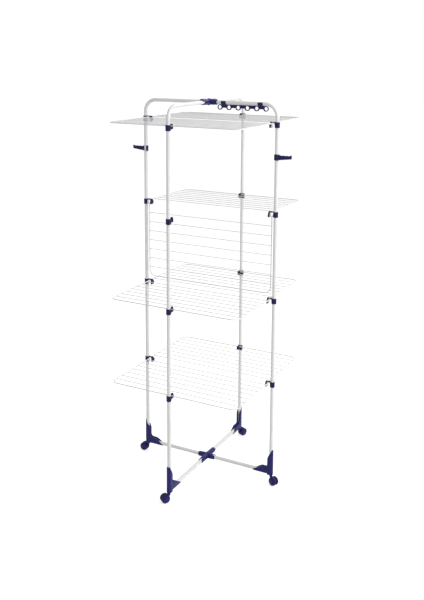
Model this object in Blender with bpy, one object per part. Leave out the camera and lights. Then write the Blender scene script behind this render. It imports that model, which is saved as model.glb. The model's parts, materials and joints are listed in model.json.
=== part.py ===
"""Tower clothes airer: two crossed tube frames on castors carry four levels of folding wire racks.

Metres, +Z up. The origin is on the floor under the middle.
+X points to the right leg and -Y to the front leg.
"""

import math

import bmesh
import bpy
from mathutils import Matrix, Vector

# Overall sizes
LEG_X = 0.360
LEG_Y = 0.385
TOP_Z = 1.890
LEVEL_COUNT = 4
TOP_LEVEL_DROP = 0.095
LEVEL_STEP = 0.4242
CLEARANCE = 0.0003

# Frame tubes
TUBE_RADIUS = 0.009
TUBE_WALL = 0.001
TUBE_SIDES = 12
CORNER_RADIUS = 0.060
CORNER_STEPS = 7

# Cross connectors
CROSS_SIDE_REACH = 0.047
CROSS_FRONT_REACH = 0.073
CROSS_END_RADIUS = 0.0125
CROSS_MIDDLE_RADIUS = 0.0140
CROSS_SOLID_HALF = 0.016
CROSS_NOTCH_DEPTH = 0.014
CROSS_NOTCH_LEFT = 0.0045
RIVET_RADIUS = 0.003
RIVET_HEAD_RADIUS = 0.0075
RIVET_HEAD_HEIGHT = 0.003
RIVET_HEAD_EDGE = 0.00075
RIVET_CROWN_RADIUS = 0.0045
RIVET_CROWN_HEIGHT = 0.0024
RIVET_SIDES = 12

# Rack wires
RACK_SIDE_INSET = 0.0195
RACK_WIRE_RADIUS = 0.0025
RACK_LINE_RADIUS = 0.00175
RACK_WIRE_SIDES = 6
RACK_CORNER_STEPS = 3
RACK_LINE_SIDES = 6
RACK_CORNER_RADIUS = 0.035
RACK_LINE_COUNT = 7
RACK_LINE_MARGIN = 0.048
RACK_RISE = 0.008
RACK_PASSING_GAP = 0.0004
RACK_BEND_RADIUS = 0.004
RACK_BEND_STEPS = 2
HINGE_OFFSET = 0.012
HINGE_DROP = 0.0085
BLOCK_PIN_BEYOND = 0.0015
EAR_PIN_DEPTH = 0.0065
HANGING_LEVEL = 2

# Brackets on the legs
COLLAR_RADIUS = 0.0125
COLLAR_HALF_HEIGHT = 0.0135
COLLAR_EDGE = 0.0015
BRACKET_REACH = 0.034
BRACKET_PLATE = 0.0075
BRIDGE_THICKNESS = 0.0035
BRIDGE_HALF_WIDTH = 0.004
BLOCK_SIDE_WALL = 0.0022
BLOCK_FREE_HALF_WIDTH = 0.008
BLOCK_EDGE = 0.001
EAR_THICKNESS = 0.008
EAR_WALL = 0.0026
BRIDGE_PLAY = 0.0005
PIN_BORE_SIDES = 8
HOOK_WIRE_INSET = 0.0165
HOOK_ARM_HALF_WIDTH = 0.0055
HOOK_ARM_BOTTOM = 0.007
HOOK_PLATE_HALF_WIDTH = 0.0068
HOOK_PLATE_TOP = 0.0168
HOOK_PLATE_BOTTOM = 0.0078
HOOK_TIP_HALF_WIDTH = 0.0034

# Feet, with heights above the base tube's axis
FOOT_RADIUS = 0.0122
FOOT_ROUND_STEPS = 8
FOOT_EDGE = 0.003
FOOT_SOLE = 0.0008
FOOT_OVER_WHEEL = 0.004
FOOT_LEG_REACH = 0.0165
FOOT_SHOULDER_RISE = 0.070
FOOT_KNEE_REACH = 0.011
FOOT_KNEE_RISE = 0.086
FOOT_TIP_RISE = 0.119
FOOT_TIP_WIDTH = 0.0035
FOOT_SLEEVE_RISE = 0.024
FOOT_SLEEVE_INSET = 0.0002
FOOT_TOP_REACH = 0.050
FOOT_LIP_REACH = 0.093
FOOT_LIP_DROP = 0.002
FOOT_FILLET = 0.016
FOOT_FILLET_STEPS = 4
FOOT_SLOT_HALF_WIDTH = 0.00325
FOOT_SLOT_OVERLAP = 0.001
FOOT_SLOT_FILLET = 0.014
LEG_BOTTOM_RISE = 0.006
BASE_TUBE_END_GAP = 0.012

# Castors
WHEEL_RADIUS = 0.0215
WHEEL_HALF_WIDTH = 0.0195
WHEEL_INNER_FACE = 0.0042
WHEEL_SIDES = 20
WHEEL_TREAD_HALF_WIDTH = 0.0125
WHEEL_EDGE = 0.0012
WHEEL_SHOULDER_RADIUS = 0.0189
WHEEL_SHOULDER_HALF_WIDTH = 0.0160
WHEEL_DOME_RADIUS = 0.0118
WHEEL_DOME_HALF_WIDTH = 0.0191
AXLE_RADIUS = 0.003
CASTOR_TRAIL = 0.022
CASTOR_YAWS = {"right": -25.0, "back": -25.0, "left": 0.0, "front": -35.0}
HOOD_HALF_WIDTH = 0.0038
HOOD_RADIUS = 0.0190
HOOD_SIDES = 16
HOOD_ARM_HALF_WIDTH = 0.0036
HOOD_ARM_HALF_LENGTH = 0.0055
HOOD_ARM_DROP = 0.003
HOOD_ARM_HEIGHT = 0.0115
HOOD_ARM_SHOULDER = 0.0198
HOOD_ARM_SHOULDER_DROP = 0.0055
HOOD_ARM_HEEL = 0.0099
STEM_RADIUS = 0.004
STEM_EDGE = 0.001
STEM_NECK_RADIUS = 0.0065
STEM_NECK_HEIGHT = 0.0065
STEM_TOP_RISE = 0.002
STEM_SIDES = 12

# Hanger bar
BAR_RING_COUNT = 6
BAR_FIRST_RING_X = 0.0605
BAR_RING_PITCH = 0.0484
BAR_RING_GAP = 0.0007
BAR_RING_RADIUS = 0.0128
BAR_HOLE_RADIUS = 0.0087
BAR_RING_SIDES = 16
BAR_HOLE_SIDES = 12
BAR_HALF_THICKNESS = 0.0030
BAR_STRIP_GAP = 0.0008
BAR_STRIP_REACH = 0.0075
BAR_SCALLOP_REACH = 0.0010
BAR_SCALLOP_RADIUS = 0.0110
BAR_CLIP_INSETS = (0.0225, 0.0270)
BAR_CLIP_WIDTH = 0.0245
BAR_CLIP_DIP = 0.0015
BAR_CLIP_LAP = 0.004
CLIP_WALL = 0.0032

# Hanger arms
ARM_DROP = 0.151
ARM_REACH = 0.075
ARM_CLIP_HALF_HEIGHT = 0.0138
ARM_CLIP_MOUTH_HALF = 0.0065
ARM_CLIP_MOUTH_DEPTH = 0.004
ARM_HALF_THICKNESS = 0.0035
ARM_TIP_BOTTOM = 0.005
ARM_ROOT_BOTTOM = 0.013
ARM_TOP = 0.011
ARM_NOTCH_DEPTH = 0.0018
ARM_NOTCH_COUNT = 3
ARM_NOTCH_SLOPE = 0.002
ARM_TIP_RISE = 0.002
ARM_TIP_LENGTH = 0.005

# Values that follow from the sizes above
BORE_RADIUS = TUBE_RADIUS + CLEARANCE
TURNING_BORE_RADIUS = TUBE_RADIUS / math.cos(math.pi / TUBE_SIDES) + CLEARANCE / 3
CLIP_RADIUS = TURNING_BORE_RADIUS + CLIP_WALL
BAR_CLIP_TOP = TUBE_RADIUS - BAR_CLIP_DIP
BAR_STRIP_TOP_DROP = TUBE_RADIUS + BAR_STRIP_GAP
BAR_RING_DROP = TUBE_RADIUS + BAR_RING_GAP + BAR_RING_RADIUS
BAR_STRIP_BOTTOM_DROP = BAR_RING_DROP + BAR_STRIP_REACH
BAR_SCALLOP_DROP = BAR_RING_DROP + BAR_SCALLOP_REACH + BAR_SCALLOP_RADIUS
RACK_HALF_WIDTH = LEG_X - RACK_SIDE_INSET
RACK_SHIFT = RACK_WIRE_RADIUS + RACK_PASSING_GAP / 2
RACK_OUTER_Y = LEG_Y - HOOK_WIRE_INSET
RACK_DEPTH = RACK_OUTER_Y + HINGE_OFFSET
RACK_LINE_PITCH = (RACK_DEPTH - RACK_LINE_MARGIN) / RACK_LINE_COUNT
PIN_BORE_RADIUS = RACK_WIRE_RADIUS + CLEARANCE
AXLE_Z = WHEEL_RADIUS * math.cos(math.pi / WHEEL_SIDES)
FOOT_BOTTOM_Z = 2 * WHEEL_RADIUS + FOOT_OVER_WHEEL
BASE_Z = FOOT_BOTTOM_Z + FOOT_SOLE + FOOT_RADIUS
LEG_BOTTOM_Z = BASE_Z + LEG_BOTTOM_RISE
STEM_TOP_Z = BASE_Z + STEM_TOP_RISE
WIRE_TOP = RACK_RISE + RACK_WIRE_RADIUS
BLOCK_TOP = WIRE_TOP + BRIDGE_PLAY + BRIDGE_THICKNESS
BLOCK_HALF_WIDTH = HINGE_OFFSET + PIN_BORE_RADIUS + BLOCK_SIDE_WALL
LEVELS = [TOP_Z - TOP_LEVEL_DROP - LEVEL_STEP * index for index in range(LEVEL_COUNT)]
ARM_Z = LEVELS[0] - ARM_DROP
TURNS = {"right": 0.0, "back": 90.0, "left": 180.0, "front": 270.0}
REACHES = {"right": LEG_X, "back": LEG_Y, "left": LEG_X, "front": LEG_Y}


def clear_scene():
    """Remove whatever the file holds at the start."""
    for obj in list(bpy.data.objects):
        bpy.data.objects.remove(obj, do_unlink=True)


def make_material(name, color, roughness, metallic=0.0):
    """A plain Principled material."""
    material = bpy.data.materials.new(name)
    material.use_nodes = True
    shader = material.node_tree.nodes["Principled BSDF"]
    shader.inputs["Base Color"].default_value = (*color, 1.0)
    shader.inputs["Roughness"].default_value = roughness
    shader.inputs["Metallic"].default_value = metallic
    return material


def finish_mesh(bm, name):
    """Turn a closed bmesh into a mesh with its faces pointing out."""
    bmesh.ops.recalc_face_normals(bm, faces=bm.faces)
    mesh = bpy.data.meshes.new(name)
    bm.to_mesh(mesh)
    bm.free()
    return mesh


def ring_of(bm, centre, across, up, radius, sides):
    """One ring of points round a centre."""
    ring = []
    for index in range(sides):
        angle = 2 * math.pi * (index + 0.5) / sides
        ring.append(bm.verts.new(centre + radius * (math.cos(angle) * across + math.sin(angle) * up)))
    return ring


def bridge_rings(bm, first, second):
    """A band of faces between two rings of equal count."""
    count = len(first)
    for index in range(count):
        following = (index + 1) % count
        bm.faces.new((first[index], first[following], second[following], second[index]))


def rounded_path(corners, arcs):
    """Points along straight runs whose inner corners are arcs, each given as its radius and its steps."""
    points = [Vector(corners[0])]
    for index in range(1, len(corners) - 1):
        before, corner, after = (Vector(corners[index + step]) for step in (-1, 0, 1))
        incoming = (corner - before).normalized()
        outgoing = (after - corner).normalized()
        turn = incoming.angle(outgoing)
        radius, steps = arcs[index - 1]
        cut = radius * math.tan(turn / 2)
        start = corner - incoming * cut
        centre = start + (outgoing - incoming.dot(outgoing) * incoming).normalized() * radius
        spoke = start - centre
        axis = incoming.cross(outgoing).normalized()
        for step in range(steps + 1):
            points.append(centre + Matrix.Rotation(turn * step / steps, 3, axis) @ spoke)
    points.append(Vector(corners[-1]))
    return points


def sweep(points, radius, sides, name, inner_radius=None):
    """A round bar along the points, or a tube with open ends where an inner radius is given."""
    bm = bmesh.new()
    tangents = []
    for index in range(len(points)):
        before = points[max(index - 1, 0)]
        after = points[min(index + 1, len(points) - 1)]
        tangents.append((after - before).normalized())
    helper = Vector((0, 0, 1)) if abs(tangents[0].z) < 0.9 else Vector((0, 1, 0))
    across = tangents[0].cross(helper).normalized()
    outer = []
    inner = []
    for index, point in enumerate(points):
        if index:
            across = tangents[index - 1].rotation_difference(tangents[index]) @ across
        up = tangents[index].cross(across).normalized()
        outer.append(ring_of(bm, point, across, up, radius, sides))
        if inner_radius:
            inner.append(ring_of(bm, point, across, up, inner_radius, sides))
    for rings in (outer, inner):
        for first, second in zip(rings, rings[1:]):
            bridge_rings(bm, first, second)
    if inner_radius:
        bridge_rings(bm, outer[0], inner[0])
        bridge_rings(bm, outer[-1], inner[-1])
    else:
        bm.faces.new(outer[0])
        bm.faces.new(outer[-1])
    return finish_mesh(bm, name)


def bar(start, end, radius, sides, name="bar"):
    """A straight round bar between two points."""
    return sweep([Vector(start), Vector(end)], radius, sides, name)


def lathe(profile, sides, name="lathe", axis="Z"):
    """Turn a profile of (radius, height) points about an axis; a profile off the axis closes on itself."""
    bm = bmesh.new()
    across = Vector((1, 0, 0))
    up = Vector((0, 1, 0))
    rings = []
    for radius, height in profile:
        if radius == 0.0:
            rings.append([bm.verts.new((0, 0, height))])
        else:
            rings.append(ring_of(bm, Vector((0, 0, height)), across, up, radius, sides))
    pairs = list(zip(rings, rings[1:]))
    if len(rings[0]) > 1 and len(rings[-1]) > 1:
        pairs.append((rings[-1], rings[0]))
    for first, second in pairs:
        if len(first) == 1 or len(second) == 1:
            point, ring = (first[0], second) if len(first) == 1 else (second[0], first)
            for index in range(sides):
                bm.faces.new((point, ring[index], ring[(index + 1) % sides]))
        else:
            bridge_rings(bm, first, second)
    if axis == "X":
        bmesh.ops.rotate(bm, verts=bm.verts, matrix=Matrix.Rotation(math.radians(90), 3, "Y"))
    if axis == "Y":
        bmesh.ops.rotate(bm, verts=bm.verts, matrix=Matrix.Rotation(math.radians(-90), 3, "X"))
    return finish_mesh(bm, name)


def prism(outline, normal_axis, low, high, name="prism"):
    """An outline drawn across one axis and carried along that axis from low to high.

    Across X the outline is (y, z), across Y it is (x, z) and across Z it is (x, y).
    """
    bm = bmesh.new()
    places = {
        "X": lambda first, second, along: (along, first, second),
        "Y": lambda first, second, along: (first, along, second),
        "Z": lambda first, second, along: (first, second, along),
    }
    place = places[normal_axis]
    near = [bm.verts.new(place(first, second, low)) for first, second in outline]
    far = [bm.verts.new(place(first, second, high)) for first, second in outline]
    bridge_rings(bm, near, far)
    bm.faces.new(near)
    bm.faces.new(far)
    return finish_mesh(bm, name)


def box(low, high, name="box"):
    """An upright box between two corners."""
    outline = [(low[0], low[1]), (high[0], low[1]), (high[0], high[1]), (low[0], high[1])]
    return prism(outline, "Z", low[2], high[2], name)


def combine(name, base, adds=(), cuts=()):
    """The base mesh with some meshes joined on and then others taken off."""
    start = bpy.data.objects.new(name, base)
    bpy.context.scene.collection.objects.link(start)
    helpers = []
    for operation, tools in (("UNION", adds), ("DIFFERENCE", cuts)):
        for tool in tools:
            helper = bpy.data.objects.new(name + "_tool", tool)
            bpy.context.scene.collection.objects.link(helper)
            helper.hide_render = True
            helper.display_type = "WIRE"
            helpers.append(helper)
            modifier = start.modifiers.new(operation.lower(), "BOOLEAN")
            modifier.operation = operation
            modifier.solver = "EXACT"
            modifier.object = helper
    bpy.context.view_layer.update()
    depsgraph = bpy.context.evaluated_depsgraph_get()
    mesh = bpy.data.meshes.new_from_object(start.evaluated_get(depsgraph))
    mesh.name = name
    for obj in [start, *helpers]:
        bpy.data.objects.remove(obj, do_unlink=True)
    return mesh


def dress(mesh, material, sharp_degrees=38.0):
    """Give a mesh its material, and smooth shading with crisp edges."""
    mesh.materials.clear()
    mesh.materials.append(material)
    mesh.shade_smooth()
    mesh.set_sharp_from_angle(angle=math.radians(sharp_degrees))
    return mesh


def place(name, mesh, location=(0, 0, 0), turn=0.0, parent=None):
    """A named object that shows the mesh, turned about Z and set at its place."""
    obj = bpy.data.objects.new(name, mesh)
    bpy.context.scene.collection.objects.link(obj)
    obj.location = location
    obj.rotation_euler = (0, 0, math.radians(turn))
    obj.parent = parent
    return obj


def on_leg(side, height):
    """The point on a leg's axis at a height."""
    angle = math.radians(TURNS[side])
    return (REACHES[side] * math.cos(angle), REACHES[side] * math.sin(angle), height)


def build_tubes():
    """Four bent leg tubes and four base tubes, all hollow."""
    leg_material = make_material("leg_tube", (0.88, 0.88, 0.87), 0.35)
    base_material = make_material("base_tube", (0.86, 0.86, 0.85), 0.35)
    for side, reach in REACHES.items():
        path = rounded_path(
            [(reach, 0, LEG_BOTTOM_Z), (reach, 0, TOP_Z), (CROSS_SOLID_HALF + CLEARANCE, 0, TOP_Z)],
            [(CORNER_RADIUS, CORNER_STEPS)],
        )
        leg = sweep(path, TUBE_RADIUS, TUBE_SIDES, "leg", TUBE_RADIUS - TUBE_WALL)
        place(f"leg_{side}", dress(leg, leg_material), turn=TURNS[side])
        ends = [
            Vector((CROSS_SOLID_HALF + CLEARANCE, 0, BASE_Z)),
            Vector((reach - BASE_TUBE_END_GAP, 0, BASE_Z)),
        ]
        base = sweep(ends, TUBE_RADIUS, TUBE_SIDES, "base_tube", TUBE_RADIUS - TUBE_WALL)
        place(f"base_tube_{side}", dress(base, base_material), turn=TURNS[side])


def cross_half(name, reach, upper, notch_axis):
    """One lapped half of a cross connector, its sleeves along X and its notched end at +X.

    The notch runs through the sleeve's end along notch_axis, so that two lips stand beside the tube.
    """
    profile = [
        (0.0, -reach),
        (CROSS_END_RADIUS, -reach),
        (CROSS_MIDDLE_RADIUS, -CROSS_SOLID_HALF),
        (CROSS_MIDDLE_RADIUS, CROSS_SOLID_HALF),
        (CROSS_END_RADIUS, reach),
        (0.0, reach),
    ]
    sleeve = lathe(profile, TUBE_SIDES, axis="X")
    lap = CROSS_MIDDLE_RADIUS + CLEARANCE
    far = 2 * CROSS_MIDDLE_RADIUS
    low, high = (-far, CLEARANCE / 2) if upper else (-CLEARANCE / 2, far)
    lap_cut = box((-lap, -far, low), (lap, far, high))
    beyond = reach + CROSS_END_RADIUS
    bores = [
        bar((sign * CROSS_SOLID_HALF, 0, 0), (sign * beyond, 0, 0), BORE_RADIUS, TUBE_SIDES)
        for sign in (-1, 1)
    ]
    notch_outline = [
        (reach - CROSS_NOTCH_DEPTH, -CROSS_NOTCH_LEFT),
        (beyond, -BORE_RADIUS - CLEARANCE),
        (beyond, BORE_RADIUS + CLEARANCE),
        (reach - CROSS_NOTCH_DEPTH, CROSS_NOTCH_LEFT),
    ]
    notch = prism(notch_outline, notch_axis, -far, far)
    hole = bar((0, 0, -far), (0, 0, far), RIVET_RADIUS + CLEARANCE, RIVET_SIDES)
    return combine(name, sleeve, cuts=[lap_cut, *bores, notch, hole])


def rivet_mesh():
    """The rivet through a cross connector, with a domed head at each end."""
    seat = CROSS_MIDDLE_RADIUS + CLEARANCE
    upper = [
        (0.0, seat + RIVET_HEAD_HEIGHT),
        (RIVET_CROWN_RADIUS, seat + RIVET_CROWN_HEIGHT),
        (RIVET_HEAD_RADIUS, seat + RIVET_HEAD_EDGE),
        (RIVET_HEAD_RADIUS, seat),
        (RIVET_RADIUS, seat),
    ]
    lower = [(radius, -height) for radius, height in reversed(upper)]
    return lathe(upper + lower, RIVET_SIDES)


def build_connectors():
    """The cross connectors that join the four half frames at the top and at the base."""
    connector = make_material("cross_connector", (0.040, 0.036, 0.190), 0.38)
    rivet = make_material("rivet", (0.045, 0.042, 0.160), 0.30)
    rivet_shape = dress(rivet_mesh(), rivet)
    side = CROSS_SIDE_REACH
    front = CROSS_FRONT_REACH
    for end, height, notch_axis, halves in (
        ("top", TOP_Z, "Y", {"upper": (side, 180.0), "lower": (front, 270.0)}),
        ("base", BASE_Z, "Z", {"upper": (front, 270.0), "lower": (side, 0.0)}),
    ):
        for half, (reach, turn) in halves.items():
            shape = cross_half(f"{end}_{half}", reach, half == "upper", notch_axis)
            place(f"{end}_connector_{half}", dress(shape, connector), (0, 0, height), turn)
        place(f"{end}_connector_rivet", rivet_shape, (0, 0, height))


def collar_mesh():
    """The round body of a bracket, with softened edges, solid until its bore is cut."""
    profile = [
        (0.0, -COLLAR_HALF_HEIGHT),
        (COLLAR_RADIUS - 2 * COLLAR_EDGE, -COLLAR_HALF_HEIGHT),
        (COLLAR_RADIUS, -COLLAR_HALF_HEIGHT + 2 * COLLAR_EDGE),
        (COLLAR_RADIUS, COLLAR_HALF_HEIGHT - COLLAR_EDGE),
        (COLLAR_RADIUS - COLLAR_EDGE, COLLAR_HALF_HEIGHT),
        (0.0, COLLAR_HALF_HEIGHT),
    ]
    return lathe(profile, TUBE_SIDES)


def leg_bore(radius=BORE_RADIUS):
    """The cutter for a leg's bore through a bracket or an arm."""
    far = 2 * max(COLLAR_HALF_HEIGHT, ARM_CLIP_HALF_HEIGHT)
    return bar((0, 0, -far), (0, 0, far), radius, TUBE_SIDES)


def hinge_bracket_mesh():
    """A bracket that a pair of racks turn in, with a collar and a bridge over the wires.

    The inner wire's pin turns in the block on one side. The outer wire's turns in the ear on the other side.
    """
    block_start = BRACKET_REACH - BRACKET_PLATE
    bridge = box(
        (-BRACKET_REACH + BLOCK_EDGE, -BRIDGE_HALF_WIDTH, BLOCK_TOP - BRIDGE_THICKNESS),
        (-TUBE_RADIUS, BRIDGE_HALF_WIDTH, BLOCK_TOP - BLOCK_EDGE / 2),
    )
    outline = [
        (-BLOCK_HALF_WIDTH, -COLLAR_HALF_HEIGHT),
        (BLOCK_FREE_HALF_WIDTH, -COLLAR_HALF_HEIGHT),
        (BLOCK_FREE_HALF_WIDTH, 0.0),
        (BRIDGE_HALF_WIDTH + BLOCK_EDGE, BLOCK_TOP),
        (-BRIDGE_HALF_WIDTH - BLOCK_EDGE, BLOCK_TOP),
        (-BLOCK_HALF_WIDTH, 0.0),
    ]
    block = prism(outline, "X", -BRACKET_REACH, -block_start)
    ear_top = PIN_BORE_RADIUS + EAR_WALL - HINGE_DROP
    ear_outline = [
        (TUBE_RADIUS / 2, -COLLAR_HALF_HEIGHT + BLOCK_EDGE),
        (HINGE_OFFSET + PIN_BORE_RADIUS, -COLLAR_HALF_HEIGHT + BLOCK_EDGE),
        (BLOCK_HALF_WIDTH, -HINGE_DROP),
        (HINGE_OFFSET + PIN_BORE_RADIUS, ear_top),
        (TUBE_RADIUS / 2, ear_top),
    ]
    ear = prism(ear_outline, "X", -COLLAR_RADIUS, -COLLAR_RADIUS + EAR_THICKNESS)
    block_pin = bar(
        (-BRACKET_REACH - BRACKET_PLATE, -HINGE_OFFSET, -HINGE_DROP),
        (-block_start + BLOCK_EDGE, -HINGE_OFFSET, -HINGE_DROP),
        PIN_BORE_RADIUS,
        PIN_BORE_SIDES,
    )
    ear_pin = bar(
        (-block_start, HINGE_OFFSET, -HINGE_DROP),
        (-COLLAR_RADIUS + EAR_PIN_DEPTH + CLEARANCE, HINGE_OFFSET, -HINGE_DROP),
        PIN_BORE_RADIUS,
        PIN_BORE_SIDES,
    )
    cuts = [leg_bore(), block_pin, ear_pin]
    return combine("hinge_bracket", collar_mesh(), adds=[bridge, block, ear], cuts=cuts)


def hook_bracket_mesh():
    """A bracket that a rack's outer wire rests in: collar, arm under the wire, and raised plate behind it."""
    plate_start = BRACKET_REACH - BRACKET_PLATE
    arm = box(
        (-BRACKET_REACH + BLOCK_EDGE, -HOOK_ARM_HALF_WIDTH, -HOOK_ARM_BOTTOM),
        (-TUBE_RADIUS, HOOK_ARM_HALF_WIDTH, RACK_RISE - RACK_WIRE_RADIUS - CLEARANCE),
    )
    outline = [
        (-HOOK_PLATE_HALF_WIDTH, -HOOK_PLATE_BOTTOM),
        (HOOK_PLATE_HALF_WIDTH, -HOOK_PLATE_BOTTOM),
        (HOOK_PLATE_HALF_WIDTH, RACK_RISE),
        (HOOK_TIP_HALF_WIDTH, HOOK_PLATE_TOP),
        (-HOOK_TIP_HALF_WIDTH, HOOK_PLATE_TOP),
        (-HOOK_PLATE_HALF_WIDTH, RACK_RISE),
    ]
    plate = prism(outline, "X", -BRACKET_REACH, -plate_start)
    return combine("hook_bracket", collar_mesh(), adds=[arm, plate], cuts=[leg_bore()])


def build_brackets():
    """A hinge bracket on each side leg and a hook bracket on the front and back legs, at every level."""
    shapes = {
        "hinge": dress(hinge_bracket_mesh(), make_material("hinge_bracket", (0.042, 0.036, 0.180), 0.42)),
        "hook": dress(hook_bracket_mesh(), make_material("hook_bracket", (0.042, 0.036, 0.185), 0.42)),
    }
    for number, height in enumerate(LEVELS, start=1):
        for side in TURNS:
            kind = "hinge" if side in ("left", "right") else "hook"
            place(f"{kind}_bracket_{number}_{side}", shapes[kind], on_leg(side, height), TURNS[side])


def rack_mesh():
    """One rack, lying level: a bent frame wire with its hinge pins, and the straight lines across it.

    It is drawn about its hinge axis, reaching towards -Y. It stands off the middle by RACK_SHIFT, so
    that the side wires of a front and a back rack pass each other. The pin on the right points outwards,
    because the other rack's wire would sweep through one that pointed inwards.
    """
    right = RACK_HALF_WIDTH + RACK_SHIFT
    left = -RACK_HALF_WIDTH + RACK_SHIFT
    rise = RACK_RISE + HINGE_DROP
    corners = [
        (LEG_X - COLLAR_RADIUS + EAR_PIN_DEPTH, 0, 0),
        (right, 0, 0),
        (right, 0, rise),
        (right, -RACK_DEPTH, rise),
        (left, -RACK_DEPTH, rise),
        (left, 0, rise),
        (left, 0, 0),
        (BRACKET_REACH + BLOCK_PIN_BEYOND - LEG_X, 0, 0),
    ]
    bends = [(RACK_BEND_RADIUS, RACK_BEND_STEPS)] * 2
    arcs = bends + [(RACK_CORNER_RADIUS, RACK_CORNER_STEPS)] * 2 + bends
    frame = sweep(rounded_path(corners, arcs), RACK_WIRE_RADIUS, RACK_WIRE_SIDES, "rack_frame")
    lines = []
    for number in range(1, RACK_LINE_COUNT + 1):
        y = RACK_LINE_PITCH * number - RACK_DEPTH
        lines.append(bar((left, y, rise), (right, y, rise), RACK_LINE_RADIUS, RACK_LINE_SIDES))
    return combine("rack", frame, adds=lines)


def build_racks():
    """Two racks at each level, each under an empty on its hinge axis; one hangs down."""
    shape = dress(rack_mesh(), make_material("rack_wire", (0.90, 0.90, 0.89), 0.30))
    for number, height in enumerate(LEVELS, start=1):
        for side, turn, sign in (("front", 0.0, 1), ("back", 180.0, -1)):
            pivot = bpy.data.objects.new(f"rack_{number}_{side}_hinge", None)
            bpy.context.scene.collection.objects.link(pivot)
            pivot.location = (0, sign * HINGE_OFFSET, height - HINGE_DROP)
            hangs = number == HANGING_LEVEL and side == "front"
            pivot.rotation_euler = (math.radians(90.0 if hangs else 0.0), 0, math.radians(turn))
            place(f"rack_{number}_{side}", shape, parent=pivot)


def foot_section(radius, reach):
    """A foot's section as (inwards, across) points: half round outside, with cheeks that reach inwards."""
    section = []
    for step in range(FOOT_ROUND_STEPS + 1):
        angle = math.radians(180.0 * step / FOOT_ROUND_STEPS)
        section.append((-radius * math.sin(angle), radius * math.cos(angle)))
    section.append((reach - FOOT_EDGE, -radius))
    section.append((reach, -radius + FOOT_EDGE))
    section.append((reach, radius - FOOT_EDGE))
    section.append((reach - FOOT_EDGE, radius))
    return section


def corner_arc(inwards, rise, fillet):
    """An arc in the foot's corner, from beside the leg down to above the base tube."""
    arc = []
    for step in range(FOOT_FILLET_STEPS + 1):
        angle = math.radians(90.0 * step / FOOT_FILLET_STEPS)
        along = -inwards - fillet * (1 - math.cos(angle))
        arc.append((along, BASE_Z + rise + fillet * (1 - math.sin(angle))))
    return arc


def foot_web():
    """The filled corner between a foot's two arms."""
    outline = [
        (0.0, BASE_Z),
        (0.0, BASE_Z + FOOT_SLEEVE_RISE + FOOT_FILLET),
        *corner_arc(FOOT_LEG_REACH, FOOT_SLEEVE_RISE, FOOT_FILLET),
        (-FOOT_LEG_REACH - FOOT_FILLET, BASE_Z),
    ]
    return prism(outline, "Y", -FOOT_RADIUS + FOOT_EDGE, FOOT_RADIUS - FOOT_EDGE)


def foot_mesh():
    """A foot about its leg's axis, its base sleeve pointing to -X, in world heights.

    Its two arms have cheeks beside the tubes, with a slot between them along the inner side. Slanted
    cuts bring the arms to a tip at the leg's outer side and to a lip under the base tube.
    """
    tip_z = BASE_Z + FOOT_TIP_RISE
    section = foot_section(FOOT_RADIUS, FOOT_LEG_REACH)
    leg_arm = prism([(-inwards, across) for inwards, across in section], "Z", FOOT_BOTTOM_Z, tip_z)
    section = foot_section(FOOT_RADIUS - FOOT_SLEEVE_INSET, FOOT_SLEEVE_RISE)
    sleeve = prism([(across, BASE_Z + rise) for rise, across in section], "X", -FOOT_LIP_REACH, 0.0)
    far = 2 * FOOT_TIP_RISE
    shoulder_z = BASE_Z + FOOT_SHOULDER_RISE
    leg_cut = prism(
        [
            (-far, shoulder_z),
            (-FOOT_LEG_REACH, shoulder_z),
            (-FOOT_KNEE_REACH, BASE_Z + FOOT_KNEE_RISE),
            (FOOT_RADIUS - FOOT_TIP_WIDTH, tip_z),
            (FOOT_RADIUS - FOOT_TIP_WIDTH, tip_z + FOOT_RADIUS),
            (-far, tip_z + FOOT_RADIUS),
        ],
        "Y",
        -2 * FOOT_RADIUS,
        2 * FOOT_RADIUS,
    )
    sleeve_cut = prism(
        [
            (-far, BASE_Z - FOOT_LIP_DROP),
            (-FOOT_LIP_REACH, BASE_Z - FOOT_LIP_DROP),
            (-FOOT_TOP_REACH, BASE_Z + FOOT_SLEEVE_RISE),
            (-FOOT_TOP_REACH, tip_z),
            (-far, tip_z),
        ],
        "Y",
        -2 * FOOT_RADIUS,
        2 * FOOT_RADIUS,
    )
    seat = TUBE_RADIUS - FOOT_SLOT_OVERLAP
    slot = prism(
        [
            (-seat, tip_z + FOOT_RADIUS),
            *corner_arc(seat, seat, FOOT_SLOT_FILLET),
            (-far, BASE_Z + seat),
            (-far, tip_z + FOOT_RADIUS),
        ],
        "Y",
        -FOOT_SLOT_HALF_WIDTH,
        FOOT_SLOT_HALF_WIDTH,
    )
    cuts = [
        bar((0, 0, LEG_BOTTOM_Z - CLEARANCE), (0, 0, BASE_Z + far), BORE_RADIUS, TUBE_SIDES),
        bar((-BASE_TUBE_END_GAP + CLEARANCE, 0, BASE_Z), (-far, 0, BASE_Z), BORE_RADIUS, TUBE_SIDES),
        bar((0, 0, 0), (0, 0, STEM_TOP_Z + CLEARANCE), STEM_RADIUS + CLEARANCE, STEM_SIDES),
        leg_cut,
        sleeve_cut,
        slot,
    ]
    return combine("foot", leg_arm, adds=[sleeve, foot_web()], cuts=cuts)


def build_feet():
    """The four corner feet, which join each leg to its base tube."""
    shape = dress(foot_mesh(), make_material("foot", (0.044, 0.038, 0.185), 0.40))
    for side in TURNS:
        place(f"foot_{side}", shape, on_leg(side, 0), TURNS[side])


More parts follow.
